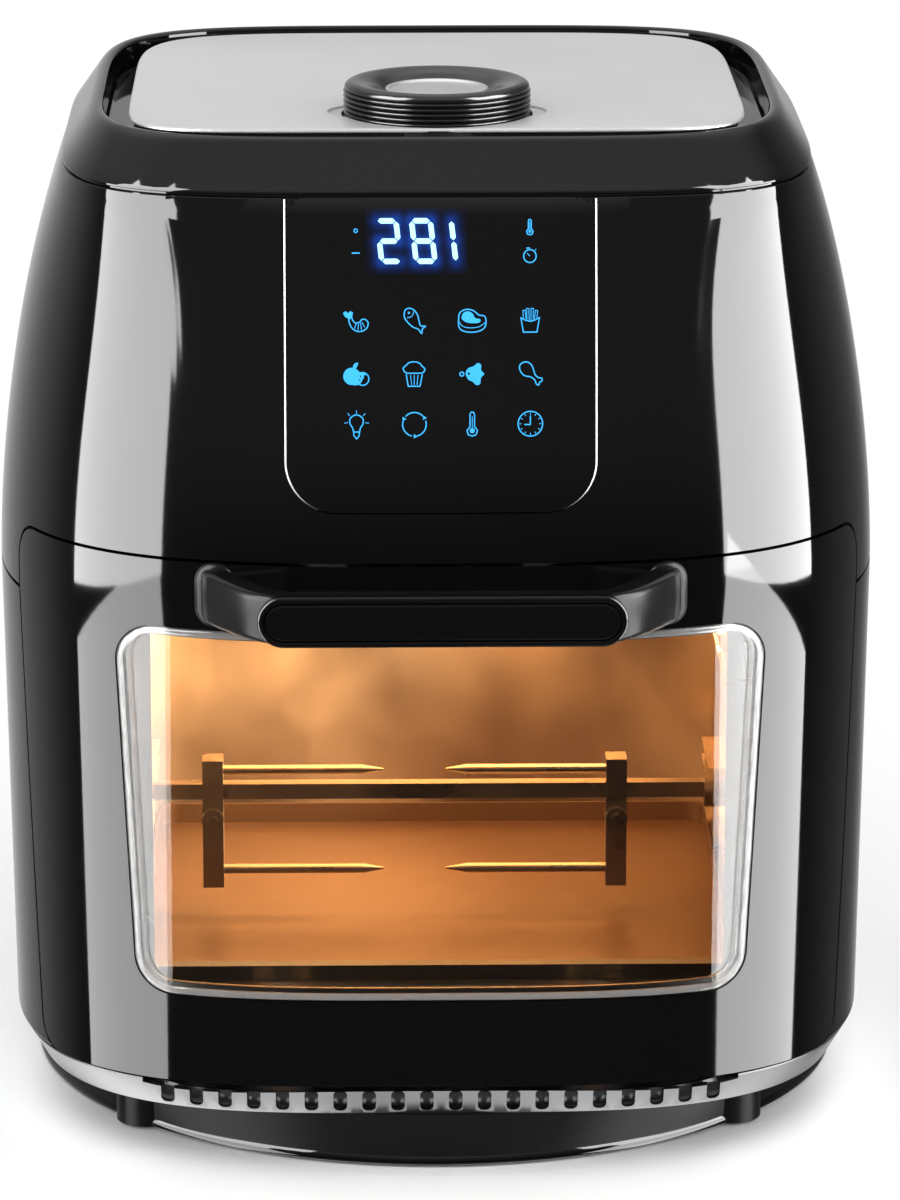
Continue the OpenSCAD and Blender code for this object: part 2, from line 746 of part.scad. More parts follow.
module thermal_fuse() {
    color([0.8, 0.8, 0.75]) {
        box([74, 40, oven_top_z + steel_t + 0.1], [96, 52, oven_top_z + steel_t + 1.3]);
        translate([85, 46, oven_top_z + steel_t + 1.3]) cylinder(r = 5.5, h = 7);
    }
}

// ---- rotisserie

bush_r = 8;
stub_r = 5;
module drive_bush() {
    color([0.75, 0.6, 0.3]) translate([0, spit_y, spit_z]) difference() {
        union() {
            rod_x(oven_x - 0.2, oven_x + steel_t + 1, bush_r);
            rod_x(oven_x + steel_t + 0.1, oven_x + steel_t + 1.6, bush_r + 3);
        }
        rod_x(oven_x - 5, oven_x + 8, stub_r + 0.05);
    }
}

module spit_motor() {
    color([0.5, 0.5, 0.52]) translate([0, spit_y, spit_z]) difference() {
        union() {
            rod_x(oven_x + 4, oven_x + 22, 24);
            rod_x(oven_x + 22, oven_x + 34, 16);
            box([oven_x + 4, -34, -6], [oven_x + 5.5, 34, 6]);
        }
        rod_x(oven_x, oven_x + 16, stub_r + 0.05);
        for (y = [-30, 30]) translate([0, y, 0]) rod_x(oven_x, oven_x + 10, 1.8);
    }
}

module spit_bearing() {
    color([0.66, 0.66, 0.66]) translate([0, spit_y, spit_z]) difference() {
        union() {
            box([-oven_x + 0.1, -8, -8], [-oven_x + 1.6, 8, 8]);
            rod_x(-oven_x + 0.1, -oven_x + 7, 6.5);
        }
        rod_x(-oven_x - 2, -oven_x + 10, 3.55);
    }
}

fork_reach = 58;
fork_half = 4;
tine_r = 1.9;
tine_levels = [-32, 8];
fork_low = -38;
fork_top = 13;
module fork(x, dir) {
    box([x - fork_half, -5.5, fork_low], [x + fork_half, 5.5, fork_top]);
    for (z = tine_levels) translate([x, 0, z]) rotate([0, dir * 90, 0]) {
        cylinder(r = tine_r, h = fork_reach);
        translate([0, 0, fork_reach]) cylinder(r1 = tine_r, r2 = 0.4, h = 8);
    }
}

fork_screw_z = -10;
module fork_screw(x) {
    translate([x, -5, fork_screw_z]) rotate([90, 0, 0]) cylinder(r = 2, h = 6);
    translate([x, -5.4, fork_screw_z]) rotate([90, 0, 0]) cylinder(r = 4.2, h = 3);
}

fork_left_x = -86;
fork_right_x = 70;
module rotisserie() {
    color([0.55, 0.54, 0.52]) translate([0, spit_y, spit_z]) {
        box([-oven_x + 9, -spit_side / 2, -spit_side / 2], [oven_x - 2, spit_side / 2, spit_side / 2]);
        rod_x(-oven_x + 0.6, -oven_x + 9.2, 3.5);
        rod_x(oven_x - 14, oven_x - 0.6, 7.5);
        rod_x(oven_x - 1, oven_x + 14, stub_r);
        fork(fork_left_x, 1);
        fork(fork_right_x, -1);
        fork_screw(fork_left_x);
        fork_screw(fork_right_x);
    }
}

// ---- door

door_back_y = -112;
wing_x = 138.5;
arm_x0 = 56.6;
arm_x1 = 61.4;
notch_gap = 1.2;

module inner_body(off, z0, z1) {
    loft([for (k = [0 : 5]) body_ring(z0 + (z1 - z0) * k / 5, off)]);
}

// The top wall bends down towards the back, so that it clears the housing as the door drops
top_swing_r = 183;
module swing_drum(r) {
    translate([0, hinge_y, hinge_z]) rotate([0, 90, 0]) cylinder(r = r, h = 400, center = true, $fn = 120);
}

module door_frame() {
    color([0.02, 0.02, 0.022]) difference() {
        intersection() {
            inner_body(0, 20, 240);
            door_prism(0);
        }
        intersection() {
            inner_body(skin, 18, 242);
            door_prism(-skin);
            swing_drum(top_swing_r - skin);
        }
        difference() {
            inner_body(skin, 190, 243);
            swing_drum(top_swing_r);
        }
        box([-wing_x, door_back_y + 0.1, 0], [wing_x, 0, 300]);
        along_y(-180, -126) window_outline(0.4);
        both_sides() box([arm_x0 - notch_gap, hinge_y - 7, 30], [arm_x1 + notch_gap, -100, 60]);
        for (x = [-handle_screw_x, handle_screw_x]) translate([x, -170, handle_z]) rotate([-90, 0, 0])
            cylinder(r = 2.6, h = 40);
    }
}

window_t = 3;
module window_glass() {
    color([0.6, 0.6, 0.62, 0.35]) intersection() {
        front_sheet(119, 64, 210, 0.2, 0.2 + window_t, 24, 8);
        along_y(-180, -120) window_outline(0);
    }
}

module window_frame() {
    color([0.02, 0.02, 0.02]) intersection() {
        front_sheet(126, 58, 216, skin + 0.7, skin + 3.2, 24, 8);
        along_y(-180, -110) difference() {
            window_outline(6);
            window_outline(-4);
        }
    }
}

panel_t = 1.2;
module door_inner_panel() {
    color([0.62, 0.62, 0.6]) difference() {
        along_y(door_back_y + 0.1, door_back_y + 0.1 + panel_t) translate([0, 132])
            rounded_rect(274, 184, 10);
        along_y(-120, -100) translate([0, 130.5]) rounded_rect(212, 145, 10);
        both_sides() box([arm_x0 - notch_gap, -120, 20], [arm_x1 + notch_gap, -100, 54.4]);
    }
}

module inner_glass() {
    color([0.6, 0.6, 0.62, 0.35]) along_y(door_back_y - 4, door_back_y) translate([0, 130.75])
        rounded_rect(224, 152.5, 8);
}

gasket_gap = 0.4;
module door_gasket() {
    color([0.08, 0.08, 0.08]) along_y(door_back_y + panel_t + 0.2, magnet_y - gasket_gap) difference() {
        translate([0, 141.5]) rounded_rect(254, 169, 14);
        translate([0, 141.5]) rounded_rect(240, 155, 8);
    }
}

handle_half = 65.5;
handle_root_x = 87;
handle_screw_x = 80.5;
bar_t = 10.5;
handle_y = -body_d / 2 - handle_reach;
bend_steps = 8;

// Half of the handle's outline seen from above: straight front, round bend, arm to the door
function bend(off) = [for (i = [0 : bend_steps]) let (a = -90 + 62 * i / bend_steps)
    [handle_half - 4 + (22 - off) * cos(a), handle_y + 22 + (22 - off) * sin(a)]];
module handle_plan() {
    outer = concat([[0, handle_y]], bend(0), [[handle_root_x, front_y(handle_root_x, handle_z, 0) - 0.25]]);
    inner = concat([[0, handle_y + bar_t]], bend(bar_t),
        [[handle_root_x - 11, front_y(handle_root_x - 11, handle_z, 0) - 0.25]]);
    polygon(concat(outer, [for (i = [len(inner) - 1 : -1 : 0]) inner[i]]));
}

inlay_t = 1.2;
module handle() {
    color([0.02, 0.02, 0.022]) difference() {
        both_sides() translate([0, 0, handle_z - handle_h / 2]) linear_extrude(handle_h) handle_plan();
        along_y(handle_y - 1, handle_y + inlay_t) translate([0, handle_z])
            rounded_rect(2 * handle_half - 3, handle_h - 2.4, handle_h / 2 - 1.3);
        for (x = [-handle_screw_x, handle_screw_x]) translate([x, -172, handle_z]) rotate([-90, 0, 0])
            cylinder(r = 1.9, h = 30);
    }
}

module handle_inlay() {
    color([0.01, 0.01, 0.01]) along_y(handle_y - 0.3, handle_y + inlay_t - 0.1) translate([0, handle_z])
        rounded_rect(2 * handle_half - 3.6, handle_h - 3, handle_h / 2 - 1.6);
}

module handle_screws() {
    color([0.55, 0.55, 0.57]) for (x = [-handle_screw_x, handle_screw_x])
        translate([x, front_y(x, handle_z, 0) + skin + 2.3, handle_z]) rotate([90, 0, 0]) screw(1.8, 12);
}

module hinge_knuckles() {
    color([0.3, 0.3, 0.32]) both_sides() for (x = [48, 62.4]) difference() {
        union() {
            translate([0, hinge_y, hinge_z]) rod_x(x, x + 7.6, 5.2);
            box([x, hinge_y - 4, door_low_z + skin + 0.05], [x + 7.6, hinge_y + 4, hinge_z]);
        }
        translate([0, hinge_y, hinge_z]) rod_x(x - 1, x + 9, pin_r + 0.05);
    }
}

pin_r = 2.4;
module hinge_pins() {
    color([0.75, 0.75, 0.76]) both_sides() translate([0, hinge_y, hinge_z]) rod_x(48.5, 69.5, pin_r);
}

bracket_z = chassis_z + chassis_t + 0.1;
module hinge_brackets() {
    color([0.6, 0.6, 0.62]) both_sides() difference() {
        union() {
            translate([0, hinge_y, hinge_z]) rod_x(arm_x0, arm_x1, 4.6);
            box([arm_x0, hinge_y, hinge_z - 4.6], [arm_x1, -105.2, hinge_z + 4.6]);
            box([arm_x0 - 8, -107.2, bracket_z], [arm_x1 + 8, -105.2, hinge_z + 6]);
            box([arm_x0 - 8, -107.2, bracket_z], [arm_x1 + 8, -92, bracket_z + 1.9]);
        }
        translate([0, hinge_y, hinge_z]) rod_x(arm_x0 - 1, arm_x1 + 1, pin_r + 0.01);
    }
}

magnet_x = 132.5;
magnet_z = 205;
magnet_y = oven_front_y - 1.5;
module door_magnets() {
    color([0.3, 0.3, 0.32]) both_sides()
        box([magnet_x - 3.5, magnet_y - 3.6, magnet_z - 9], [magnet_x + 3.5, magnet_y - 0.05, magnet_z + 9]);
}

module striker_plates() {
    color([0.7, 0.7, 0.72]) both_sides()
        box([magnet_x - 3.5, door_back_y + panel_t + 0.15, magnet_z - 9],
            [magnet_x + 3.5, magnet_y - 4.1, magnet_z + 9]);
}

switch_x = 86;
switch_z = 232;
module door_switch() {
    color([0.1, 0.1, 0.12]) difference() {
        box([switch_x - 10, -103, switch_z + 9], [switch_x + 10, -96, switch_z + 22]);
        box([switch_x - 2.1, -104, switch_z + 11], [switch_x + 2.1, -95, switch_z + 15.2]);
    }
}

module switch_plunger() {
    color([0.8, 0.2, 0.15]) box([switch_x - 2, -111, switch_z + 11.1], [switch_x + 2, -98, switch_z + 15.1]);
}

// ---- knob

knob_low_z = 377.2;
rib_pitch = 1.75;
cap_r = 19;
dish_z = 387.4;

// Profile of the ribbed side: shallow ribs between the foot and the crest
function ribs() = [for (i = [0 : 4]) each [
    [knob_r - 1.1, knob_low_z + 1.2 + rib_pitch * i],
    [knob_r - 0.3, knob_low_z + 1.5 + rib_pitch * i],
    [knob_r, knob_low_z + 2.1 + rib_pitch * i],
    [knob_r - 0.3, knob_low_z + 2.6 + rib_pitch * i]]];

module knob() {
    color([0.05, 0.05, 0.055]) translate([0, knob_y, 0]) difference() {
        rotate_extrude($fn = 96) polygon(concat(
            [[0, knob_low_z], [knob_r - 1.6, knob_low_z]], ribs(),
            [[knob_r - 0.6, knob_top_z - 3.6], [knob_r - 1.4, knob_top_z - 1.8],
             [knob_r - 2.8, knob_top_z - 0.6],
             [knob_r - 4.4, knob_top_z], [cap_r + 7, knob_top_z - 0.7], [cap_r + 2.2, dish_z + 0.5],
             [cap_r + 0.6, dish_z - 0.4], [0, dish_z - 0.4]]));
        translate([0, 0, 382]) cylinder(r = cap_r + 0.1, h = 20);
        translate([0, 0, 370]) cylinder(r = shaft_r + 0.02, h = 20);
    }
}

module knob_shaft() {
    color([0.7, 0.7, 0.72]) translate([0, knob_y, encoder_z + 1.4])
        cylinder(r = shaft_r, h = 381 - encoder_z - 1.4);
}

module start_button() {
    color([0.78, 0.78, 0.8]) translate([0, knob_y, 0]) rotate_extrude($fn = 96) polygon([
        [0, 384], [cap_r, 384], [cap_r, dish_z + 0.6], [cap_r - 0.7, dish_z + 1.3],
        [cap_r - 1.6, dish_z + 1.1], [cap_r - 2.2, dish_z + 0.5], [8, dish_z + 0.3], [0, dish_z + 0.2]]);
}

upper_housing();
lower_housing();
base_skirt();
base_pan();
rubber_feet();
chassis_plate();
top_plate();
knob_collar();
rear_grille();
cord_inlet();
housing_screws();
control_panel();
panel_trim();
display_board();
display_module();
encoder();
power_board();
board_tray();
cooking_chamber();
front_flange();
left_rack_rail();
right_rack_rail();
drip_tray();
fan_guard();
heating_element();
element_clips();
motor_bracket();
fan_motor();
exhaust_duct();
insulation();
lamp_holder();
oven_lamp();
lamp_cover();
temperature_sensor();
thermal_fuse();
spit_motor();
drive_bush();
spit_bearing();
door_switch();
door_magnets();
hinge_brackets();
hinge_pins();
switch_plunger();
door_frame();
window_glass();
window_frame();
door_inner_panel();
inner_glass();
door_gasket();
handle();
handle_inlay();
handle_screws();
hinge_knuckles();
striker_plates();
knob();
knob_shaft();
start_button();
hot_air_fan();
cooling_fan();
rotisserie();
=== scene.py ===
import math

import bmesh
import bpy
import numpy as np
from mathutils import Matrix, Vector


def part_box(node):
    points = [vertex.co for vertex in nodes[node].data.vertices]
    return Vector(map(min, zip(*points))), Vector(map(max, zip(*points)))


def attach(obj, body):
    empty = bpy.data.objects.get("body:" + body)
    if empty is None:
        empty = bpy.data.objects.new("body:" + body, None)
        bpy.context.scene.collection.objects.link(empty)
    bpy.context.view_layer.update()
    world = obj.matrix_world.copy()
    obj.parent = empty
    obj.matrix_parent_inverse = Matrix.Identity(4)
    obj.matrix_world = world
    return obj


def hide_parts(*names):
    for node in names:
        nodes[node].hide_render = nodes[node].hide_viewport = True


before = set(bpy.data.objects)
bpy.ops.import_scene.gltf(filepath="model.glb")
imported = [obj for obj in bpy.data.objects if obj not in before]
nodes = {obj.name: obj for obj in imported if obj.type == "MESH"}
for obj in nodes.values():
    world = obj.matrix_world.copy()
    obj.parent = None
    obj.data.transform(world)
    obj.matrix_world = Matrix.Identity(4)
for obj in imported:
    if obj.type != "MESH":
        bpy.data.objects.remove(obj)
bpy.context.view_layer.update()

scene = bpy.context.scene

# ---- camera
camera_data = bpy.data.cameras.new("camera")
camera_data.lens = 176.64
camera_data.sensor_width = 36
camera_data.clip_start = 0.1
camera_data.clip_end = 60
camera = bpy.data.objects.new("camera", camera_data)
camera.location = (-0.033, -2.2, 0.7598)
LOOK_DOWN, TURN_RIGHT = 14.87, 1.015
camera.rotation_euler = (math.radians(90 - LOOK_DOWN), 0, -math.radians(TURN_RIGHT))
scene.collection.objects.link(camera)
scene.camera = camera
scene.view_settings.view_transform = "Standard"


# ---- materials
def map_range(tree, value, a, b, lo, hi, interpolation="LINEAR"):
    node = tree.nodes.new("ShaderNodeMapRange")
    node.interpolation_type = interpolation
    for key, number in (("From Min", a), ("From Max", b), ("To Min", lo), ("To Max", hi)):
        node.inputs[key].default_value = number
    tree.links.new(value, node.inputs["Value"])
    return node.outputs["Result"]


def mix_colors(tree, factor, a, b):
    node = tree.nodes.new("ShaderNodeMix")
    node.data_type = "RGBA"
    node.inputs["A"].default_value = (*a, 1)
    node.inputs["B"].default_value = (*b, 1)
    tree.links.new(factor, node.inputs["Factor"])
    return node.outputs["Result"]


def material(name, color, rough, metal=0, ior=1.45, rough_swing=0, tone_swing=0, bump=0, scale=60,
             stretch=(1, 1, 1)):
    """Procedural material: two noises drive tone, roughness and a fine bump."""
    m = bpy.data.materials.new(name)
    m.use_nodes = True
    tree = m.node_tree
    shader = tree.nodes["Principled BSDF"]
    for key, value in (("Base Color", (*color, 1)), ("Roughness", rough), ("Metallic", metal), ("IOR", ior)):
        shader.inputs[key].default_value = value
    coord = tree.nodes.new("ShaderNodeTexCoord")
    mapping = tree.nodes.new("ShaderNodeMapping")
    mapping.inputs["Scale"].default_value = stretch
    tree.links.new(coord.outputs["Object"], mapping.inputs["Vector"])

    def noise(size, detail):
        n = tree.nodes.new("ShaderNodeTexNoise")
        n.inputs["Scale"].default_value = size
        n.inputs["Detail"].default_value = detail
        tree.links.new(mapping.outputs["Vector"], n.inputs["Vector"])
        return n.outputs["Fac"]

    broad, fine = noise(scale * 0.25, 3), noise(scale * 12, 2)
    if rough_swing:
        swung = map_range(tree, broad, 0.3, 0.7, max(0, rough - rough_swing), rough + rough_swing)
        tree.links.new(swung, shader.inputs["Roughness"])
    if tone_swing:
        dark, pale = [c * (1 - tone_swing) for c in color], [min(1, c * (1 + tone_swing)) for c in color]
        tree.links.new(mix_colors(tree, broad, dark, pale), shader.inputs["Base Color"])
    if bump:
        node = tree.nodes.new("ShaderNodeBump")
        node.inputs["Strength"].default_value = bump
        node.inputs["Distance"].default_value = 0.0002
        tree.links.new(fine, node.inputs["Height"])
        tree.links.new(node.outputs["Normal"], shader.inputs["Normal"])
    return m


def glowing(name, color, strength):
    """Lit print on the panel: a dim tint with an even emission, mottled slightly."""
    m = material(name, color, 0.3, tone_swing=0.15, scale=900)
    shader = m.node_tree.nodes["Principled BSDF"]
    shader.inputs["Emission Color"].default_value = (*color, 1)
    shader.inputs["Emission Strength"].default_value = strength
    return m


def glass(name, tint, ior, rough=0.0):
    """Clear pane: lets light straight through and reflects by Fresnel."""
    m = material(name, tint, rough, ior=ior)
    tree = m.node_tree
    through, gloss, smear, fresnel, mix = [
        tree.nodes.new("ShaderNode" + kind)
        for kind in ("BsdfTransparent", "BsdfGlossy", "TexNoise", "Fresnel", "MixShader")]
    smear.inputs["Scale"].default_value = 14
    through.inputs["Color"].default_value = (*tint, 1)
    fresnel.inputs["IOR"].default_value = ior
    smeared = map_range(tree, smear.outputs["Fac"], 0, 1, rough, rough + 0.05)
    for out, socket in ((smeared, gloss.inputs["Roughness"]), (fresnel.outputs["Fac"], mix.inputs["Fac"]),
                        (through.outputs["BSDF"], mix.inputs[1]), (gloss.outputs["BSDF"], mix.inputs[2]),
                        (mix.outputs["Shader"], tree.nodes["Material Output"].inputs["Surface"])):
        tree.links.new(out, socket)
    tree.nodes.remove(tree.nodes["Principled BSDF"])
    return m


LOOKS = {
    # color, rough, metal, ior, rough_swing, tone_swing, bump, scale, stretch
    "gloss_black": ((0.0035, 0.0035, 0.0038), 0.05, 0, 1.3, 0.015, 0.2, 0.01, 30),
    "dark_plastic": ((0.012, 0.012, 0.013), 0.34, 0, 1.4, 0.06, 0.15, 0.12, 160),
    "knob_plastic": ((0.012, 0.012, 0.013), 0.16, 0, 1.42, 0.03, 0.1, 0.03, 120),
    "handle_satin": ((0.006, 0.006, 0.0065), 0.24, 0, 1.17, 0.05, 0.1, 0.02, 110),
    "dish_black": ((0.009, 0.009, 0.0095), 0.34, 0, 1.12, 0.05, 0.15, 0.05, 120),
    "rubber_black": ((0.012, 0.012, 0.012), 0.6, 0, 1.45, 0.08, 0.2, 0.3, 140),
    "red_plastic": ((0.5, 0.03, 0.02), 0.4, 0, 1.45, 0.06, 0.1, 0.1, 150),
    "grey_case": ((0.25, 0.26, 0.27), 0.45, 0, 1.45, 0.08, 0.1, 0.1, 140),
    "circuit_board": ((0.02, 0.16, 0.07), 0.35, 0, 1.45, 0.08, 0.3, 0.1, 500),
    "silver_plate": ((0.57, 0.57, 0.578), 0.34, 0.2, 1.45, 0.03, 0.008, 0.01, 70),
    "bright_metal": ((0.78, 0.78, 0.8), 0.12, 1, 1.45, 0.04, 0.04, 0.02, 80),
    "band_metal": ((0.62, 0.62, 0.63), 0.2, 1, 1.45, 0.05, 0.12, 0.03, 90),
    "bead_metal": ((0.2, 0.2, 0.205), 0.38, 1, 1.45, 0.05, 0.1, 0.03, 90),
    "cap_metal": ((0.55, 0.55, 0.56), 0.3, 1, 1.45, 0.05, 0.05, 0.1, 60),
    "zinc": ((0.5, 0.5, 0.52), 0.35, 1, 1.45, 0.1, 0.15, 0.1, 150),
    "steel_sheet": ((0.5, 0.43, 0.36), 0.36, 1, 1.45, 0.1, 0.12, 0.08, 60, (1, 6, 1)),
    "spit_steel": ((0.2, 0.17, 0.14), 0.3, 1, 1.45, 0.08, 0.15, 0.08, 110),
    "element_sheath": ((0.2, 0.13, 0.09), 0.42, 1, 1.45, 0.1, 0.3, 0.1, 160),
    "aluminium_fan": ((0.66, 0.65, 0.63), 0.3, 1, 1.45, 0.08, 0.1, 0.08, 90),
    "brass_bush": ((0.62, 0.44, 0.18), 0.3, 1, 1.45, 0.08, 0.15, 0.05, 120),
    "tray_enamel": ((0.04, 0.022, 0.012), 0.42, 0, 1.3, 0.04, 0.08, 0.06, 120),
    "white_ceramic": ((0.78, 0.77, 0.72), 0.3, 0, 1.45, 0.06, 0.05, 0.04, 90),
    "glass_wool": ((0.7, 0.63, 0.42), 0.9, 0, 1.45, 0, 0.3, 0.8, 260),
    "touch_glass": ((0.003, 0.003, 0.0032), 0.06, 0, 1.3, 0.012, 0.15, 0.004, 30),
    "figure_glow": ((0.003, 0.003, 0.0032), 0.06, 0, 1.3, 0.012, 0.15, 0, 30),
    "floor_paper": ((0.92, 0.92, 0.92), 0.8, 0, 1.45, 0, 0.01, 0, 8),
}
MATS = {name: material(name, *look) for name, look in LOOKS.items()}
MATS["clear_glass"] = glass("clear_glass", (0.97, 0.975, 0.97), 1.3)
MATS["lamp_glass"] = glass("lamp_glass", (1, 0.9, 0.72), 1.4, rough=0.1)
MATS["display_blue"] = glowing("display_blue", (0.02, 0.33, 0.72), 0.85)
MATS["figure_light"] = glowing("figure_light", (0.36, 0.76, 1.0), 0.98)

# ---- the body's shape
HALF = 0.165
BELT, VISOR, RIM, SKIRT = 0.205, 0.362, 0.38, 0.034
SHOULDER, VISOR_DRAW, BACK_DRAW, TAPER, CURVE = 0.024, 0.015, 0.005, 0.02, 1.85


def rise(z):
    return np.clip((z - BELT) / (VISOR - BELT), 0, 1)


def inset(z):
    low = (BELT - z) * TAPER
    high = SHOULDER * rise(z) ** CURVE + np.maximum(0, VISOR_DRAW * (z - VISOR) / (RIM - VISOR))
    return np.where(z < BELT, low, high)


def power(z):
    return np.where(z < BELT, 3.4 - 0.3 * (z - SKIRT) / (BELT - SKIRT), 3.1 + 1.5 * rise(z) ** 6)


def half_x(z, off=0.0):
    side = 0.0027 * rise(z) ** 6 * (1 - np.clip((z - VISOR) / (RIM - VISOR), 0, 1))
    return HALF - inset(z) - side - off


def front_half(z, off=0.0):
    return HALF - inset(z) - off


def back_half(z, off=0.0):
    return HALF - inset(z) - off - BACK_DRAW * rise(z) ** CURVE


def front_y(x, z, off=0.0):
    p = float(power(z))
    return -float(front_half(z, off)) * (1 - min(0.9999, abs(x) / float(half_x(z, off))) ** p) ** (1 / p)


def field(p):
    """Below zero inside the body, zero on its surface."""
    x, y, z = p[:, 0], p[:, 1], p[:, 2]
    n = power(z)
    b = np.where(y < 0, front_half(z), back_half(z))
    return np.abs(x / half_x(z)) ** n + np.abs(y / b) ** n - 1


def body_normals(p):
    """Outward normals of the body's surface, evened over a short height."""
    g = np.zeros_like(p)
    for axis, step in ((0, 1e-5), (1, 1e-5), (2, 0.01)):
        d = np.zeros(3)
        d[axis] = step
        g[:, axis] = (field(p + d) - field(p - d)) / (2 * step)
    return g / np.linalg.norm(g, axis=1)[:, None]


STEPS = 240  # points round each ring


def levels(lo, hi, n):
    return [lo + (hi - lo) * i / n for i in range(n + 1)]


def on_front(outline, off):
    """The outline's points laid on the body's front, off below its surface."""
    return [(x, front_y(x, z, off), z) for x, z in outline]


def oval(a, b_front, b_back, p, z, shift=0.0):
    """Level superellipse whose front and back halves can differ in depth."""
    out = []
    for i in range(STEPS):
        t = 2 * math.pi * i / STEPS
        b = b_back if t < math.pi else b_front
        r = (abs(math.cos(t) / a) ** p + abs(math.sin(t) / b) ** p) ** (-1 / p)
        out.append((r * math.cos(t), r * math.sin(t) + shift, z))
    return out


def body_ring(z, off=0.0):
    """Level ring of the body, off below its surface."""
    return oval(*[float(size(z, off)) for size in (half_x, front_half, back_half)], float(power(z)), z)


def body_rings(*places):
    return [body_ring(z, off) for z, off in places]


def plain_ring(z, a, b, p, shift):
    return oval(a, b, b, p, z, shift)


def plate_ring(z, a, b, shift):
    """Rounded outline with squarer corners at the front than at the back."""
    back, front = plain_ring(z, a, b, 5, shift), plain_ring(z, a, b, 8, shift)
    return back[:STEPS // 2] + front[STEPS // 2:]


# ---- mesh tools
def new_mesh(name, verts, faces):
    mesh = bpy.data.meshes.new(name)
    mesh.from_pydata([tuple(v) for v in verts], [], faces)
    mesh.update()
    ob = bpy.data.objects.new(name, mesh)
    scene.collection.objects.link(ob)
    return ob


def loft(name, rings, loop=False):
    """Skin over rings of points, capped at both ends or joined into a loop."""
    n = len(rings[0])
    m = len(rings)
    verts = [p for r in rings for p in r]
    faces = []
    for j in range(m if loop else m - 1):
        k = (j + 1) % m
        for i in range(n):
            l = (i + 1) % n
            faces.append((j * n + i, j * n + l, k * n + l, k * n + i))
    if not loop:
        faces.append(tuple(range(n - 1, -1, -1)))
        faces.append(tuple((m - 1) * n + i for i in range(n)))
    ob = new_mesh(name, verts, faces)
    outward(ob)
    return ob


def outward(ob):
    bm = bmesh.new()
    bm.from_mesh(ob.data)
    bmesh.ops.recalc_face_normals(bm, faces=bm.faces)
    bm.to_mesh(ob.data)
    bm.free()


def prism(name, outline, axis, lo, hi):
    """Outline in the two other axes, in order, made into a bar from lo to hi."""
    def place(p, d):
        if axis == "x":
            return (d, p[0], p[1])
        if axis == "y":
            return (p[0], d, p[1])
        return (p[0], p[1], d)
    n = len(outline)
    verts = [place(p, lo) for p in outline] + [place(p, hi) for p in outline]
    faces = [tuple(range(n)), tuple(range(2 * n - 1, n - 1, -1))]
    faces += [(i, (i + 1) % n, n + (i + 1) % n, n + i) for i in range(n)]
    ob = new_mesh(name, verts, faces)
    outward(ob)
    return ob


def lathe(name, profile, centre=(0, 0, 0), count=128, axis="z"):
    """Solid of turning (radius, height) points about an axis through centre."""
    rings = []
    for r, h in profile:
        ring = []
        for i in range(count):
            t = 2 * math.pi * i / count
            a, b = r * math.cos(t), r * math.sin(t)
            p = (a, b, h) if axis == "z" else ((h, a, b) if axis == "x" else (b, h, a))
            ring.append(tuple(p[k] + centre[k] for k in range(3)))
        rings.append(ring)
    return loft(name, rings)


def boolean(ob, cutter, how="DIFFERENCE"):
    mod = ob.modifiers.new("cut", "BOOLEAN")
    mod.operation = how
    mod.object = cutter
    mod.solver = "EXACT"
    deps = bpy.context.evaluated_depsgraph_get()
    mesh = bpy.data.meshes.new_from_object(ob.evaluated_get(deps))
    ob.modifiers.clear()
    ob.data = mesh
    bpy.data.objects.remove(cutter)


def carve(ob, outline, axis, lo, hi, how="DIFFERENCE"):
    boolean(ob, prism("cutter", outline, axis, lo, hi), how)


def bore(ob, radius, lo, hi, centre, count, axis="z", how="DIFFERENCE"):
    boolean(ob, lathe("cutter", [(radius, lo), (radius, hi)], centre, count, axis), how)


def smooth(ob, angle=35):
    """Smooth shading with edges kept above an angle."""
    ob.data.shade_smooth()
    ob.data.set_sharp_from_angle(angle=math.radians(angle))


def fetch(items, key, width=3, kind=float):
    """One attribute of a mesh's items as an array."""
    values = np.empty(len(items) * width, dtype=kind)
    items.foreach_get(key, values)
    return values.reshape(-1, 3) if width == 3 else values


def body_shading(ob, top=0.3605):
    """Exact normals on what lies on the body's surface, smooth elsewhere."""
    smooth(ob, 30)
    mesh = ob.data
    co, normals = fetch(mesh.vertices, "co"), fetch(mesh.corner_normals, "vector")
    face_n, totals = fetch(mesh.polygons, "normal"), fetch(mesh.polygons, "loop_total", 1, np.int64)
    loop_vert = fetch(mesh.loops, "vertex_index", 1, np.int64)
    loop_face = np.repeat(np.arange(len(totals)), totals)
    exact = body_normals(co)
    on = (np.abs(field(co)) < 0.004) & (co[:, 2] < top)
    pick = on[loop_vert] & (np.einsum("ij,ij->i", exact[loop_vert], face_n[loop_face]) > 0.97)
    normals[pick] = exact[loop_vert][pick]
    mesh.normals_split_custom_set([tuple(v) for v in normals])


def finish_piece(ob, body, slot, *stands_for, look=None, angle=None):
    """Gives a piece the material of its look, else of its slot, parents it to its body and hides the CAD
    nodes that it replaces.
    """
    if angle:
        smooth(ob, angle)
    ob.data.materials.clear()
    ob.data.materials.append(MATS[look or slot])
    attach(ob, body)
    if stands_for:
        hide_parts(*stands_for)
    return ob


def second_look(ob, slot, where):
    """Another material on the faces whose centre passes the test."""
    ob.data.materials.append(MATS[slot])
    for f in ob.data.polygons:
        if where(f.center):
            f.material_index = 1


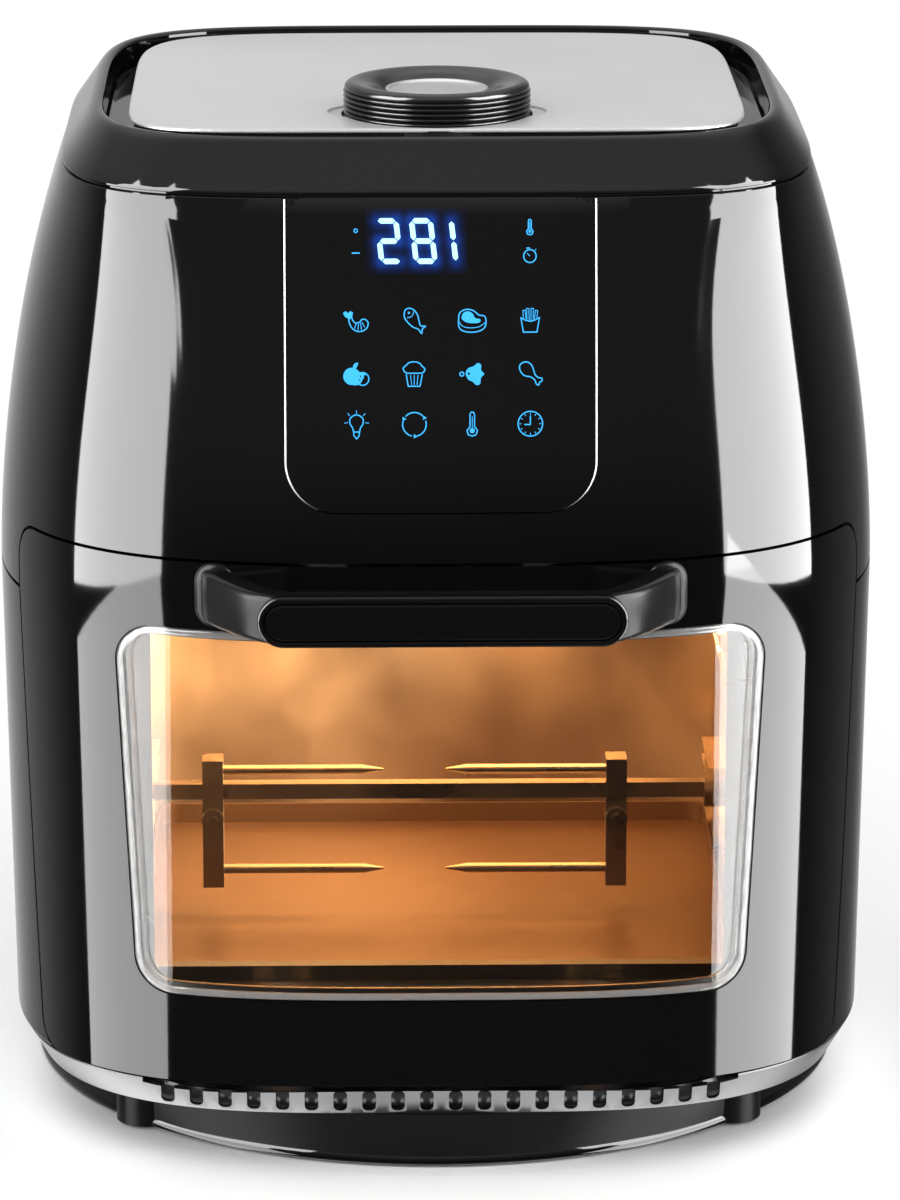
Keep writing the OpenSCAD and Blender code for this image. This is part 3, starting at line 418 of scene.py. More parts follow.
def tube(name, points, radius, count):
    """Round bar along an open path."""
    pts = [Vector(p) for p in points]
    rings = []
    for i, p in enumerate(pts):
        ahead = (pts[min(i + 1, len(pts) - 1)] - pts[max(i - 1, 0)]).normalized()
        side = ahead.cross(Vector((0, 0, 1)))
        if side.length < 1e-3:
            side = ahead.cross(Vector((0, 1, 0)))
        side.normalize()
        other = side.cross(ahead).normalized()
        rings.append([tuple(p + radius * (math.cos(2 * math.pi * k / count) * side
                                          + math.sin(2 * math.pi * k / count) * other))
                      for k in range(count)])
    ob = loft(name, rings)
    smooth(ob, 60)
    return ob


def arc2(cx, cy, r, a0, a1, n=10):
    return [(cx + r * math.cos(math.radians(a0 + (a1 - a0) * i / n)),
             cy + r * math.sin(math.radians(a0 + (a1 - a0) * i / n))) for i in range(n + 1)]


def rounded_rect(w, h, r, cx=0.0, cy=0.0, n=8):
    x, y = w / 2 - r, h / 2 - r
    return (arc2(cx + x, cy - y, r, -90, 0, n) + arc2(cx + x, cy + y, r, 0, 90, n)
            + arc2(cx - x, cy + y, r, 90, 180, n) + arc2(cx - x, cy - y, r, 180, 270, n))


# ---- door outlines
DOOR_LOW, DOOR_TOP = 0.034, 0.2313
EDGE_TOP_Y, EDGE_LOW_Y, DOOR_R = -0.094, -0.1095, 0.012
SEAM, SKIN, WALL = 0.0012, 0.003, 0.0025
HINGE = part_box("hinge_pins")
HINGE_Y = (HINGE[0][1] + HINGE[1][1]) / 2
HINGE_Z = (HINGE[0][2] + HINGE[1][2]) / 2
HINGE_AT = (0, HINGE_Y, HINGE_Z)
FRONT_CUT = ("y", -0.18, -0.12)


def edge_y(z):
    return EDGE_LOW_Y + (EDGE_TOP_Y - EDGE_LOW_Y) * (z - DOOR_LOW) / (DOOR_TOP - DOOR_LOW)


def door_outline(grow):
    r = DOOR_R + grow
    low, high = DOOR_LOW + DOOR_R, DOOR_TOP - DOOR_R
    return ([(-0.19, DOOR_LOW - grow)] + arc2(edge_y(low) - DOOR_R, low, r, -90, 0, 12)
            + arc2(edge_y(high) - DOOR_R, high, r, 0, 90, 12) + [(-0.19, DOOR_TOP + grow)])


def door_prism(grow):
    return prism("cutter", door_outline(grow), "x", -0.2, 0.2)


WIN_TOP_X, WIN_LOW_X, WIN_TOP_Z, WIN_LOW_Z, WIN_R = 0.1175, 0.112, 0.2063, 0.0674, 0.014


def window_outline(grow):
    r, n = WIN_R + grow, 14
    return (arc2(WIN_LOW_X - WIN_R, WIN_LOW_Z + WIN_R, r, -90, 0, n)
            + arc2(WIN_TOP_X - WIN_R, WIN_TOP_Z - WIN_R, r, 0, 90, n)
            + arc2(-WIN_TOP_X + WIN_R, WIN_TOP_Z - WIN_R, r, 90, 180, n)
            + arc2(-WIN_LOW_X + WIN_R, WIN_LOW_Z + WIN_R, r, 180, 270, n))


PANEL_HALF, PANEL_LOW, PANEL_R, PANEL_TOP = 0.055, 0.2512, 0.0175, 0.3611


def panel_outline(grow, top=PANEL_TOP):
    w, low, r = PANEL_HALF + grow, PANEL_LOW - grow, PANEL_R + grow
    return ([(w, top), (-w, top)] + arc2(-w + r, low + r, r, 180, 270, 16)
            + arc2(w - r, low + r, r, 270, 360, 16))


# ---- housings
def upper_shell():
    lip = -0.001
    rings = body_rings(
        (0.2076, 0.0005), (0.2078, 0.0001), *[(z, 0) for z in levels(0.2082, 0.3606, 34)], (0.3609, 0.0002),
        (0.3612, 0.0012), (0.3619, 0.0012), (0.3621, 0), (0.3624, lip * 0.6), (0.3629, lip * 0.92),
        (0.3637, lip), *[(z, lip) for z in levels(0.366, 0.3775, 6)], (0.3784, -0.0009), (0.3792, -0.0006),
        (0.3797, -0.0001), (0.38, 0.0006), (0.38, 0.0009))
    # the channel round the plate
    cx, cy, shift, squareness = 0.1234, 0.1215, -0.003, 4.4
    for z, grow in ((0.3799, 0.001), (0.3796, 0.0005), (0.3791, 0.0001), (0.3785, 0), (0.37, -0.0006),
                    (0.3692, -0.0014), (0.369, -0.0024)):
        rings.append(plain_ring(z, cx + grow, cy + grow, squareness, shift))
    rings += [plate_ring(z, 0.108, 0.1015, 0.002) for z in (0.369, 0.3665)]
    rings.append(plain_ring(0.3665, cx + 0.003, cy + 0.001, squareness, shift))
    rings += body_rings(*[(z, WALL) for z in (0.346, 0.325, 0.304, 0.28, 0.256, 0.23, 0.2076)])
    ob = loft("shell_upper", rings, loop=True)
    boolean(ob, door_prism(SEAM))
    carve(ob, panel_outline(0.0009, PANEL_TOP + 0.0001), *FRONT_CUT)
    carve(ob, rounded_rect(0.114, 0.08, 0.005, 0, 0.273), "y", 0.13, 0.18)
    body_shading(ob)
    finish_piece(ob, "root", "gloss_black", "upper_housing")


def lower_shell():
    rings = body_rings(
        (0.034, 0.001), (0.0344, 0.0004), (0.0352, 0), *[(z, 0) for z in levels(0.0365, 0.2056, 24)],
        (0.2062, 0.0001), (0.2064, 0.0005), (0.2064, WALL), (0.11, WALL), (0.034, WALL))
    ob = loft("shell_lower", rings, loop=True)
    boolean(ob, door_prism(SEAM))
    bore(ob, 0.0091, 0.12, 0.18, (0.07, 0, 0.062), 48, "y")
    body_shading(ob)
    finish_piece(ob, "root", "gloss_black", "lower_housing")


def door_shell():
    def block(name, lo, hi, n, off=0):
        return loft(name, [body_ring(z, off) for z in levels(lo, hi, n)])

    ob = block("door_shell", 0.02, 0.24, 46)
    boolean(ob, door_prism(0), "INTERSECT")
    swing = 0.183  # the door's inner top follows this radius about the hinge
    hollow = block("cutter", 0.018, 0.242, 20, SKIN)
    boolean(hollow, door_prism(-SKIN), "INTERSECT")
    bore(hollow, swing - SKIN, -0.2, 0.2, HINGE_AT, 120, "x", "INTERSECT")
    boolean(ob, hollow)
    roof = block("cutter", 0.19, 0.243, 6, SKIN)
    bore(roof, swing, -0.3, 0.3, HINGE_AT, 120, "x")
    boolean(ob, roof)
    carve(ob, [(-0.1385, 0), (0.1385, 0), (0.1385, 0.3), (-0.1385, 0.3)], "y", -0.1119, 0)
    carve(ob, window_outline(0.0004), "y", -0.18, -0.126)
    for s in (-1, 1):
        x0, x1 = sorted((s * 0.0554, s * 0.0626))
        carve(ob, [(x0, 0.03), (x1, 0.03), (x1, 0.06), (x0, 0.06)], "y", HINGE_Y - 0.007, -0.1)
    body_shading(ob)
    finish_piece(ob, "door", "gloss_black", "door_frame")


upper_shell()
lower_shell()
door_shell()


# ---- base
def skirt():
    rings = body_rings(
        (0.0208, 0.008), (0.0211, 0.0076), (0.032, 0.0017), (0.0325, 0.0019), (0.0326, 0.0029),
        (0.04, 0.0029), (0.04, 0.0049), (0.029, 0.0054), (0.0208, 0.0104))
    ob = loft("skirt", rings, loop=True)
    door_back, door_low = edge_y(SKIRT) + 0.006, 0.03259
    carve(ob, [(-0.2, door_low), (door_back, door_low), (door_back, 0.06), (-0.2, 0.06)], "x", -0.2, 0.2)
    bore(ob, 0.0192, -0.11, 0.11, HINGE_AT, 72, "x")
    slots, pitch, w = 20, 0.0106, 0.005
    parts = []
    for i in range(slots):
        outline = rounded_rect(w, 0.0096, w / 2 - 0.0004, (i - (slots - 1) / 2) * pitch, 0.0271, 8)
        parts.append(prism("slot", outline, "y", -0.175, -0.12))
    boolean(ob, join(parts, "cutter"))
    finish_piece(ob, "root", "bright_metal", "base_skirt", look="band_metal", angle=30)
    # the band's thin top edge above z 0.0322 takes the dark plastic: painted shade for the shadow line under
    # the door's bottom edge
    second_look(ob, "dark_plastic", lambda centre: centre.z > 0.0322)
    # dark liner behind the slots: a dark sheet put where the slots show only shade; it also blocks light from
    # the gap under the skirt
    rings = body_rings((0.033, 0.0064), (0.029, 0.0066), (0.0215, 0.0112), (0.0215, 0.0122), (0.029, 0.0076),
                       (0.033, 0.0074))
    ob = loft("skirt_liner", rings, loop=True)
    bore(ob, 0.0193, -0.2, 0.2, HINGE_AT, 72, "x")
    finish_piece(ob, "root", "dark_plastic", angle=30)


def join(objects, name):
    verts, faces = [], []
    for o in objects:
        base = len(verts)
        verts += [tuple(v.co) for v in o.data.vertices]
        faces += [tuple(base + i for i in f.vertices) for f in o.data.polygons]
        bpy.data.objects.remove(o)
    return new_mesh(name, verts, faces)


FEET = [(x, y, 0) for x in (-0.11, 0.11) for y in (-0.1005, 0.1005)]


def pan():
    r = 0.1552
    profile = [(1e-4, 0.018), (0.148, 0.018), (0.1508, 0.0168), (0.152, 0.014), (0.152, 0.004),
               (0.151, 0.0022), (0.1522, 0.0009)]
    profile += [(r - less, z) for less, z in (
        (0.0008, 0.0009), (0.0002, 0.0013), (0, 0.0019), (0, 0.003), (0.0003, 0.0036), (0.0007, 0.0042),
        (0.0006, 0.005), (0.0001, 0.0198), (0.0003, 0.0204), (0.0008, 0.0206))]
    profile.append((1e-4, 0.0206))
    ob = lathe("base_dish", profile, count=200)
    column = [(0.0112, 0.0008), (0.0115, 0.0011), (0.0115, 0.0192)]
    cols = [lathe("column", column, at, 48) for at in FEET]
    boolean(ob, join(cols, "cutter"), "UNION")
    finish_piece(ob, "root", "gloss_black", "base_pan", look="dish_black", angle=30)
    second_look(ob, "gloss_black", lambda centre: centre.z < 0.0045)


def feet():
    foot = [(0.0068, 0.0), (0.0073, 0.0003), (0.0075, 0.0008), (0.0075, 0.005)]
    ob = join([lathe("foot", foot, at, 48) for at in FEET], "feet")
    finish_piece(ob, "root", "rubber_black", "rubber_feet", angle=30)


skirt()
pan()
feet()


# ---- top plate and knob
KNOB_Y = (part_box("knob")[0][1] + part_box("knob")[1][1]) / 2
KNOB_AT = (0, KNOB_Y, 0)


def top_plate():
    """Pale sheet with a turned-down edge, on a dark body."""
    a, b, shift, top, sheet, roll = 0.1134, 0.1062, 0.003, 0.379, 0.0016, 0.0011
    rings = [plate_ring(top - sheet, a - 0.0004, b - 0.0004, shift), plate_ring(top - 0.0012, a, b, shift)]
    for t in (20, 45, 70, 90):
        c = 1 - math.cos(math.radians(t))
        drop = roll * (1 - math.sin(math.radians(t)))
        rings.append(plate_ring(top - drop, a - roll * c, b - roll * c, shift))
    ob = loft("top_plate_visual", rings)
    bore(ob, 0.0352, 0.36, 0.39, KNOB_AT, 144)
    floor_z = 0.3691
    rings = [plate_ring(z, a - less, b - less, shift) for z, less in
             ((floor_z, 0.003), (top - sheet, 0.0016), (top - sheet, 0.007), (floor_z, 0.007))]
    body = loft("plate_body", rings, loop=True)
    bore(body, 0.0366, 0.36, 0.39, KNOB_AT, 144)
    finish_piece(body, "root", "dark_plastic", angle=30)
    for x in (-0.0266, 0.0266):
        prof = [(1e-4, top - 0.0009), (0.0128, top - 0.0009), (0.0132, top - 0.0007), (0.0134, top - 0.0003),
                (0.0138, top), (0.0138, top + 0.003)]
        boolean(ob, lathe("cutter", prof, (x, KNOB_Y, 0), 96))
    finish_piece(ob, "root", "silver_plate", "top_plate", angle=28)


def knob():
    z0, top, r, dish = 0.3772, 0.3906, 0.0344, 0.3866
    prof = [(1e-4, z0), (r - 0.0022, z0), (r - 0.0016, z0 + 0.0003), (r - 0.0014, z0 + 0.0009)]
    pitch, ribs = 0.00186, 5
    rib = ((0.0016, 0), (0.0013, 0.00022), (0.0005, 0.0004), (0.0001, 0.0007), (0, 0.001), (0.0001, 0.0013),
           (0.0005, 0.0015), (0.0013, 0.00166))
    for i in range(ribs):
        base = z0 + 0.0012 + pitch * i
        prof += [(r - depth, base + up) for depth, up in rib]
    prof += [(r - depth, top - down) for depth, down in (
        (0.0012, 0.003), (0.0006, 0.0027), (0.0004, 0.0022), (0.0007, 0.0014), (0.0014, 0.0007),
        (0.0024, 0.0002), (0.0036, 0), (0.0052, 0.0002))]
    prof += [(0.0262, top - 0.0008), (0.0225, top - 0.002), (0.0208, dish + 0.0002), (0.0196, dish - 0.0001),
             (0.0192, dish - 0.0006), (0.0191, 0.3822), (1e-4, 0.3822)]
    ob = lathe("knob_ring", prof, KNOB_AT, 160)
    finish_piece(ob, "knob", "dark_plastic", "knob", look="knob_plastic", angle=50)
    cap = 0.019
    prof = [(1e-4, 0.384), (cap - 0.0002, 0.384), (cap, 0.3842)]
    prof += [(cap - depth, dish + up) for depth, up in (
        (0, 0.0006), (0.0002, 0.0011), (0.0007, 0.0013), (0.0013, 0.0012), (0.0018, 0.0008),
        (0.0024, 0.0005))]
    prof += [(0.012, dish + 0.0003), (0.006, dish + 0.0002), (1e-4, dish + 0.0002)]
    ob = lathe("button_cap", prof, KNOB_AT, 128)
    finish_piece(ob, "button", "bright_metal", "start_button", look="cap_metal", angle=50)


top_plate()
knob()


# ---- touch panel
def grid_faces(cols, rows):
    n = cols + 1
    return [(j * n + i, j * n + i + 1, (j + 1) * n + i + 1, (j + 1) * n + i)
            for j in range(rows) for i in range(cols)]


def curved_sheet(name, x1, z0, z1, cols, rows, outer, inner):
    """Sheet that follows the body's front, between two depths below its surface."""
    def grid(off):
        xs = [x1 * (2 * i / cols - 1) for i in range(cols + 1)]
        return on_front([(x, z) for z in levels(z0, z1, rows) for x in xs], off)

    n, half = cols + 1, (cols + 1) * (rows + 1)
    faces = []
    for a, b, c, d in grid_faces(cols, rows):
        faces += [(a, b, c, d), (half + a, half + d, half + c, half + b)]
    edges = [pair for i in range(cols) for pair in ((i, i + 1), (rows * n + i + 1, rows * n + i))]
    edges += [pair for j in range(rows)
              for pair in (((j + 1) * n, j * n), (j * n + cols, (j + 1) * n + cols))]
    faces += [(b, a, half + a, half + b) for a, b in edges]
    ob = new_mesh(name, grid(outer) + grid(inner), faces)
    outward(ob)
    return ob


def panel():
    ob = curved_sheet("panel_glass", 0.06, 0.248, 0.364, 60, 60, 0.0, 0.002)
    carve(ob, panel_outline(0), *FRONT_CUT, "INTERSECT")
    body_shading(ob, top=0.37)
    finish_piece(ob, "root", "touch_glass", "control_panel")
    across = [0.059 * k / 15 for k in range(-15, 16)]
    outline = [(x, PANEL_TOP) for x in across] + [(-x, 0.247) for x in across]
    ob = loft("panel_backing", [on_front(outline, off) for off in (0.0027, 0.0035)])
    finish_piece(ob, "root", "dark_plastic", angle=30)


def panel_bead():
    """Bright edge down both sides of the panel, thinning out round its lower corners."""
    out = 0.00045
    w, low, r = PANEL_HALF + out, PANEL_LOW - out, PANEL_R + out
    parts = []
    for s in (-1, 1):
        line = [(w, z) for z in levels(0.3605, low + r, 50)]
        line += arc2(w - r, low + r, r, -3, -69, 22)
        pts = [(s * x, front_y(x, z, 0.0001), z) for x, z in line]
        ob = tube("bead", pts, 0.0003, 8)
        count = len(line)
        for k, v in enumerate(ob.data.vertices):
            ring_no = k // 8
            fade = min(1.0, (count - 1 - ring_no) / 16)
            centre = Vector(pts[ring_no])
            v.co = centre + (v.co - centre) * max(0.12, fade)
        parts.append(ob)
    ob = join(parts, "panel_bead")
    finish_piece(ob, "root", "bright_metal", "panel_trim", look="bead_metal", angle=60)


# strokes are drawn in a small grid of units, x right and y down, about a centre
UNIT = 0.0000893
ON_GLASS = -0.00006
FIGURES_AT = (-0.0062, 0.3462)


def to_panel(cx, cz, x, y):
    px, pz = cx + x * UNIT, cz - y * UNIT
    return (px, front_y(px, pz, ON_GLASS), pz)


def stroke(verts, faces, cx, cz, points, width=5.5, closed=False):
    pts = [Vector((a, b)) for a, b in points]
    m = len(pts)
    base = len(verts)
    for i, p in enumerate(pts):
        a = pts[i - 1] if (closed or i > 0) else None
        b = pts[(i + 1) % m] if (closed or i < m - 1) else None
        d1 = (p - a).normalized() if a is not None else (b - p).normalized()
        d2 = (b - p).normalized() if b is not None else d1
        n = Vector((-(d1.y + d2.y), d1.x + d2.x))
        if n.length < 1e-6:
            n = Vector((-d1.y, d1.x))
        n.normalize()
        scale = width / 2 / max(0.5, n.dot(Vector((-d1.y, d1.x))))
        for s in (1, -1):
            q = p + n * scale * s
            verts.append(to_panel(cx, cz, q.x, q.y))
    for i in range(m if closed else m - 1):
        j = (i + 1) % m
        faces.append((base + 2 * i, base + 2 * i + 1, base + 2 * j + 1, base + 2 * j))


def blob(verts, faces, cx, cz, points):
    base = len(verts)
    verts += [to_panel(cx, cz, a, b) for a, b in points]
    faces.append(tuple(range(base, base + len(points))))


def circle(x, y, r, n=28, a0=0, a1=360):
    points = arc2(x, y, r, a0, a1, n)
    return points[:-1] if a1 - a0 >= 360 else points


def curved(points, closed=False, n=4):
    """Rounds a coarse outline with a Catmull-Rom curve."""
    pts = [Vector(p) for p in points]
    m = len(pts)
    out = []
    for i in range(m if closed else m - 1):
        p0 = pts[(i - 1) % m] if closed or i > 0 else pts[0]
        p1, p2 = pts[i], pts[(i + 1) % m]
        p3 = pts[(i + 2) % m] if closed or i < m - 2 else pts[-1]
        for k in range(n):
            t = k / n
            out.append(0.5 * ((2 * p1) + (p2 - p0) * t + (2 * p0 - 5 * p1 + 4 * p2 - p3) * t * t
                              + (3 * p1 - p0 - 3 * p2 + p3) * t ** 3))
    if not closed:
        out.append(pts[-1])
    return [(p.x, p.y) for p in out]


THERMO = [(-9, 10), (-9, -38), (-5, -47), (5, -47), (9, -38), (9, 10), (21, 25), (15, 42), (0, 47), (-16, 42),
          (-21, 25)]


def line(*points, kind="line", closed=False):
    return kind, list(points), closed


def thin(*points):
    return "thin", list(points), False


def loop(*points, kind="line", rounded=True):
    return kind, curved(points, True) if rounded else list(points), True


def ring(x, y, r, n, kind="line"):
    return kind, circle(x, y, r, n), True


def icon_shapes():
    """(kind, points, closed) for each icon about its centre; kind is line, thin, fill or dot."""
    icons = [
        # shrimp
        [loop((-19, -18), (-14, -2), (-2, 9), (15, 5), (22, -4), (36, -5), (48, 8), (44, 26), (29, 39),
              (7, 42), (-12, 33), (-24, 16), (-29, -6)),
         loop((-25, -4), (-45, -16), (-52, -30), (-41, -37), (-32, -29), (-23, -37), (-12, -32), (-15, -18),
              kind="fill", rounded=False),
         thin((-7, 32), (0, 12)), thin((7, 38), (10, 11)), thin((21, 36), (18, 8)), thin((34, 26), (24, 6))],
        # fish
        [loop((-39, -27), (-34, -42), (-19, -48), (0, -41), (14, -22), (20, 2), (26, 20), (45, 22), (33, 33),
              (30, 50), (16, 33), (-3, 26), (-24, 8), (-37, -10)),
         thin(*curved([(-28, -12), (-13, -14), (-3, -26), (-2, -37)])), ring(-20, -30, 3.2, 10, "thin")],
        # steak
        [loop((-53, -5), (-48, -30), (-22, -43), (7, -37), (27, -21), (50, -16), (56, 5), (51, 27), (28, 42),
              (-11, 46), (-43, 37), (-53, 20)),
         thin(*curved([(-51, 5), (-36, 23), (-8, 29), (27, 25), (54, 8)])),
         loop((-41, -8), (-33, -30), (-13, -35), (4, -25), (12, -10), (33, -4), (30, 8), (4, 11), (-23, 7),
              kind="fill")],
        # fries
        [loop((-37, -9), (-27, 47), (27, 47), (37, -9), (20, 0), (0, 5), (-20, 0), rounded=False),
         thin((-27, -6), (-29, -37), (-20, -39), (-16, -4)), thin((-13, -2), (-14, -45), (-5, -45), (-4, 1)),
         thin((3, 1), (4, -45), (13, -45), (12, -2)), thin((17, -3), (21, -38), (30, -36), (27, -7))],
        # fruit
        [ring(-18, 8, 34, 30, "fill"), ring(25, 18, 25, 28),
         loop((-13, -20), (-10, -39), (7, -46), (1, -27), kind="fill"),
         loop((-18, 8), (8, -10), (40, -4), (14, 40), (-10, 44), kind="fill", rounded=False),
         *[ring(25 + 13 * math.cos(a), 18 + 13 * math.sin(a), 3, 8, "dot")
           for a in (0.2, 1.5, 2.8, 4.0, 5.2)]],
        # cake
        [line(*curved([(-39, -10), (-44, -24), (-32, -35), (-21, -45), (-1, -49), (20, -44), (31, -32),
                       (42, -21), (39, -9)]), (28, -4), (-29, -4), closed=True),
         line((-32, 0), (-24, 47), (23, 47), (32, 0)),
         thin((-15, 3), (-10, 42)), thin((0, 3), (0, 42)), thin((15, 3), (11, 42))],
        # roast
        [loop((-26, -5), (-14, -24), (5, -30), (22, -43), (36, -35), (36, -15), (48, 0), (35, 15), (32, 38),
              (16, 43), (2, 30), (-16, 21), kind="fill"),
         ring(-41, 0, 8, 14), ring(-13, -2, 5, 10, "dot")],
        # leg
        [loop((-39, -10), (-43, -30), (-30, -44), (-10, -45), (5, -34), (13, -15), (18, 1), (30, 15),
              (47, 19), (44, 31), (37, 34), (34, 45), (24, 41), (18, 25), (1, 13), (-24, 7))],
        # bulb
        [line(*curved([(-12, 30), (-16, 13), (-26, -3), (-24, -25), (0, -38), (24, -25), (26, -3), (16, 13),
                       (12, 30)])),
         line((-12, 30), (-10, 45), (0, 57), (10, 45), (12, 30), closed=True),
         thin((0, -43), (0, -55)), thin((-27, -34), (-35, -44)), thin((27, -34), (35, -44)),
         thin((-35, -7), (-49, -5)), thin((35, -7), (49, -5))],
    ]
    # three arrows that chase each other round a circle
    turn = []
    for a in (-150, -30, 90):
        turn.append(line(*circle(0, 0, 47, 18, a + 12, a + 108)))
        c, s = math.cos(math.radians(a + 3)), math.sin(math.radians(a + 3))
        turn.append(loop((56 * c, 56 * s), (38 * c, 38 * s), (47 * c + 14 * s, 47 * s - 14 * c),
                         kind="fill", rounded=False))
    icons.append(turn)
    icons.append([loop(*THERMO, rounded=False), ring(0, 26, 10, 16, "fill"), thin((0, 20), (0, -30))])
    # clock
    hours = [(math.sin(math.pi / 6 * k), math.cos(math.pi / 6 * k)) for k in range(12)]
    icons.append([ring(0, 0, 49, 44), line((0, -32), (0, 3), (-24, 3)),
                  *[thin((36 * x, 36 * y), (44 * x, 44 * y)) for x, y in hours]])
    small = [loop(*[(0.62 * x, 0.62 * y) for x, y in THERMO], rounded=False), ring(0, 16, 6, 12, "fill"),
             thin((0, 12), (0, -20))]
    timer = [ring(0, 4, 25, 30), line((-14, -27), (0, -27)), thin((0, 4), (-11, -7)),
             thin((20, -18), (25, -23))]
    return icons, small, timer


def display():
    icons, small, timer = icon_shapes()
    verts, faces, dverts, dfaces = [], [], [], []
    cols = (-0.0301, -0.0095, 0.0111, 0.0318)
    rows = (0.3187, 0.3, 0.2824)
    placed = [(cols[k % 4], rows[k // 4], icons[k]) for k in range(12)]
    placed += [(cols[3], 0.3508, small), (cols[3], 0.3412, timer)]
    for cx, cz, shapes in placed:
        for kind, pts, closed in shapes:
            if kind == "fill":
                blob(verts, faces, cx, cz, pts)
            elif kind == "dot":
                base = len(dverts)
                dverts += [(x, y - 0.00004, z) for x, y, z in (to_panel(cx, cz, a, b) for a, b in pts)]
                dfaces.append(tuple(range(base, base + len(pts))))
            else:
                stroke(verts, faces, cx, cz, pts, 4.6 if kind == "line" else 3.0, closed)
    # marks beside the figures: a degree ring and a dash
    stroke(verts, faces, -0.0301, 0.3498, circle(0, 0, 7, 14), 4, True)
    stroke(verts, faces, -0.0301, 0.3421, [(-16, 0), (16, 0)], 5)
    face_front(finish_piece(new_mesh("panel_icons", verts, faces), "root", "display_blue"))
    face_front(finish_piece(new_mesh("icon_dots", dverts, dfaces), "root", "touch_glass"))
    # seven-segment figures, leaning back to the left
    W2, H2, T, LEAN = 44, 78, 21, -0.115
    segs = {"a": ((-1, -1), (1, -1)), "b": ((1, -1), (1, 0)), "c": ((1, 0), (1, 1)), "d": ((-1, 1), (1, 1)),
            "e": ((-1, 0), (-1, 1)), "f": ((-1, -1), (-1, 0)), "g": ((-1, 0), (1, 0))}
    cells = [(-136, "abged"), (1, "abcdefg"), (84, "bc")]
    verts, faces, middle = [], [], []
    for dx, lit in cells:
        w, h = W2 - T / 2 + 4, H2
        for key in lit:
            (xa, ya), (xb, yb) = segs[key]
            a = Vector((xa * w, ya * h))
            b = Vector((xb * w, yb * h))
            d = (b - a).normalized()
            n = Vector((-d.y, d.x))
            a, b = a + d * 2.5, b - d * 2.5
            t = T / 2
            hexa = [a, a + d * t + n * t, b - d * t + n * t, b, b - d * t - n * t, a + d * t - n * t]
            base = len(verts)
            verts += [to_panel(*FIGURES_AT, p.x - LEAN * p.y + dx, p.y) for p in hexa]
            faces.append(tuple(range(base, base + 6)))
            middle.append(((a.x - LEAN * a.y + dx, a.y), (b.x - LEAN * b.y + dx, b.y)))
    ob = new_mesh("figures", [(x, y - 0.0001, z) for x, y, z in verts], faces)
    finish_piece(ob, "root", "display_blue", look="figure_light")
    face_front(ob)
    # glow patch round the figures
    nx, nz = 130, 84
    gx0, gx1, gy0, gy1 = -232, 178, -128, 128
    gv, heat = [], []
    for j in range(nz + 1):
        for i in range(nx + 1):
            x, y = gx0 + (gx1 - gx0) * i / nx, gy0 + (gy1 - gy0) * j / nz
            px, py, pz = to_panel(*FIGURES_AT, x, y)
            gv.append((px, py + 0.00002, pz))
            best, total = 1e9, 0.0
            for (ax, ay), (bx, by) in middle:
                vx, vy = bx - ax, by - ay
                t = max(0, min(1, ((x - ax) * vx + (y - ay) * vy) / (vx * vx + vy * vy)))
                dist = math.hypot(x - ax - t * vx, y - ay - t * vy)
                best = min(best, dist)
                total += math.exp(-(dist / 24) ** 2)
            heat.append(min(1.0, 0.62 * total) + 0.16 * math.exp(-(best / 42) ** 2))
    ob = new_mesh("figure_glow", gv, grid_faces(nx, nz))
    attr = ob.data.attributes.new("glow", "FLOAT", "POINT")
    attr.data.foreach_set("value", heat)
    finish_piece(ob, "root", "touch_glass", look="figure_glow")
    face_front(ob)
    body_shading(ob, top=0.37)


def face_front(ob):
    bm = bmesh.new()
    bm.from_mesh(ob.data)
    for f in bm.faces:
        if f.normal.y > 0:
            f.normal_flip()
    bm.to_mesh(ob.data)
    bm.free()


glow_tree = MATS["figure_glow"].node_tree
glow_shader = glow_tree.nodes["Principled BSDF"]
heat_node = glow_tree.nodes.new("ShaderNodeAttribute")
heat_node.attribute_name = "glow"
glow_color = mix_colors(glow_tree, heat_node.outputs["Fac"], (0, 0, 0), (0.004, 0.042, 0.3))
glow_tree.links.new(glow_color, glow_shader.inputs["Emission Color"])
glow_shader.inputs["Emission Strength"].default_value = 1.0
panel()
panel_bead()
display()


# ---- handle
HANDLE_Z, HANDLE_H, BAR_T = 0.2199, 0.0186, 0.0105
HANDLE_FRONT, ROOT_X = -0.198, 0.0818


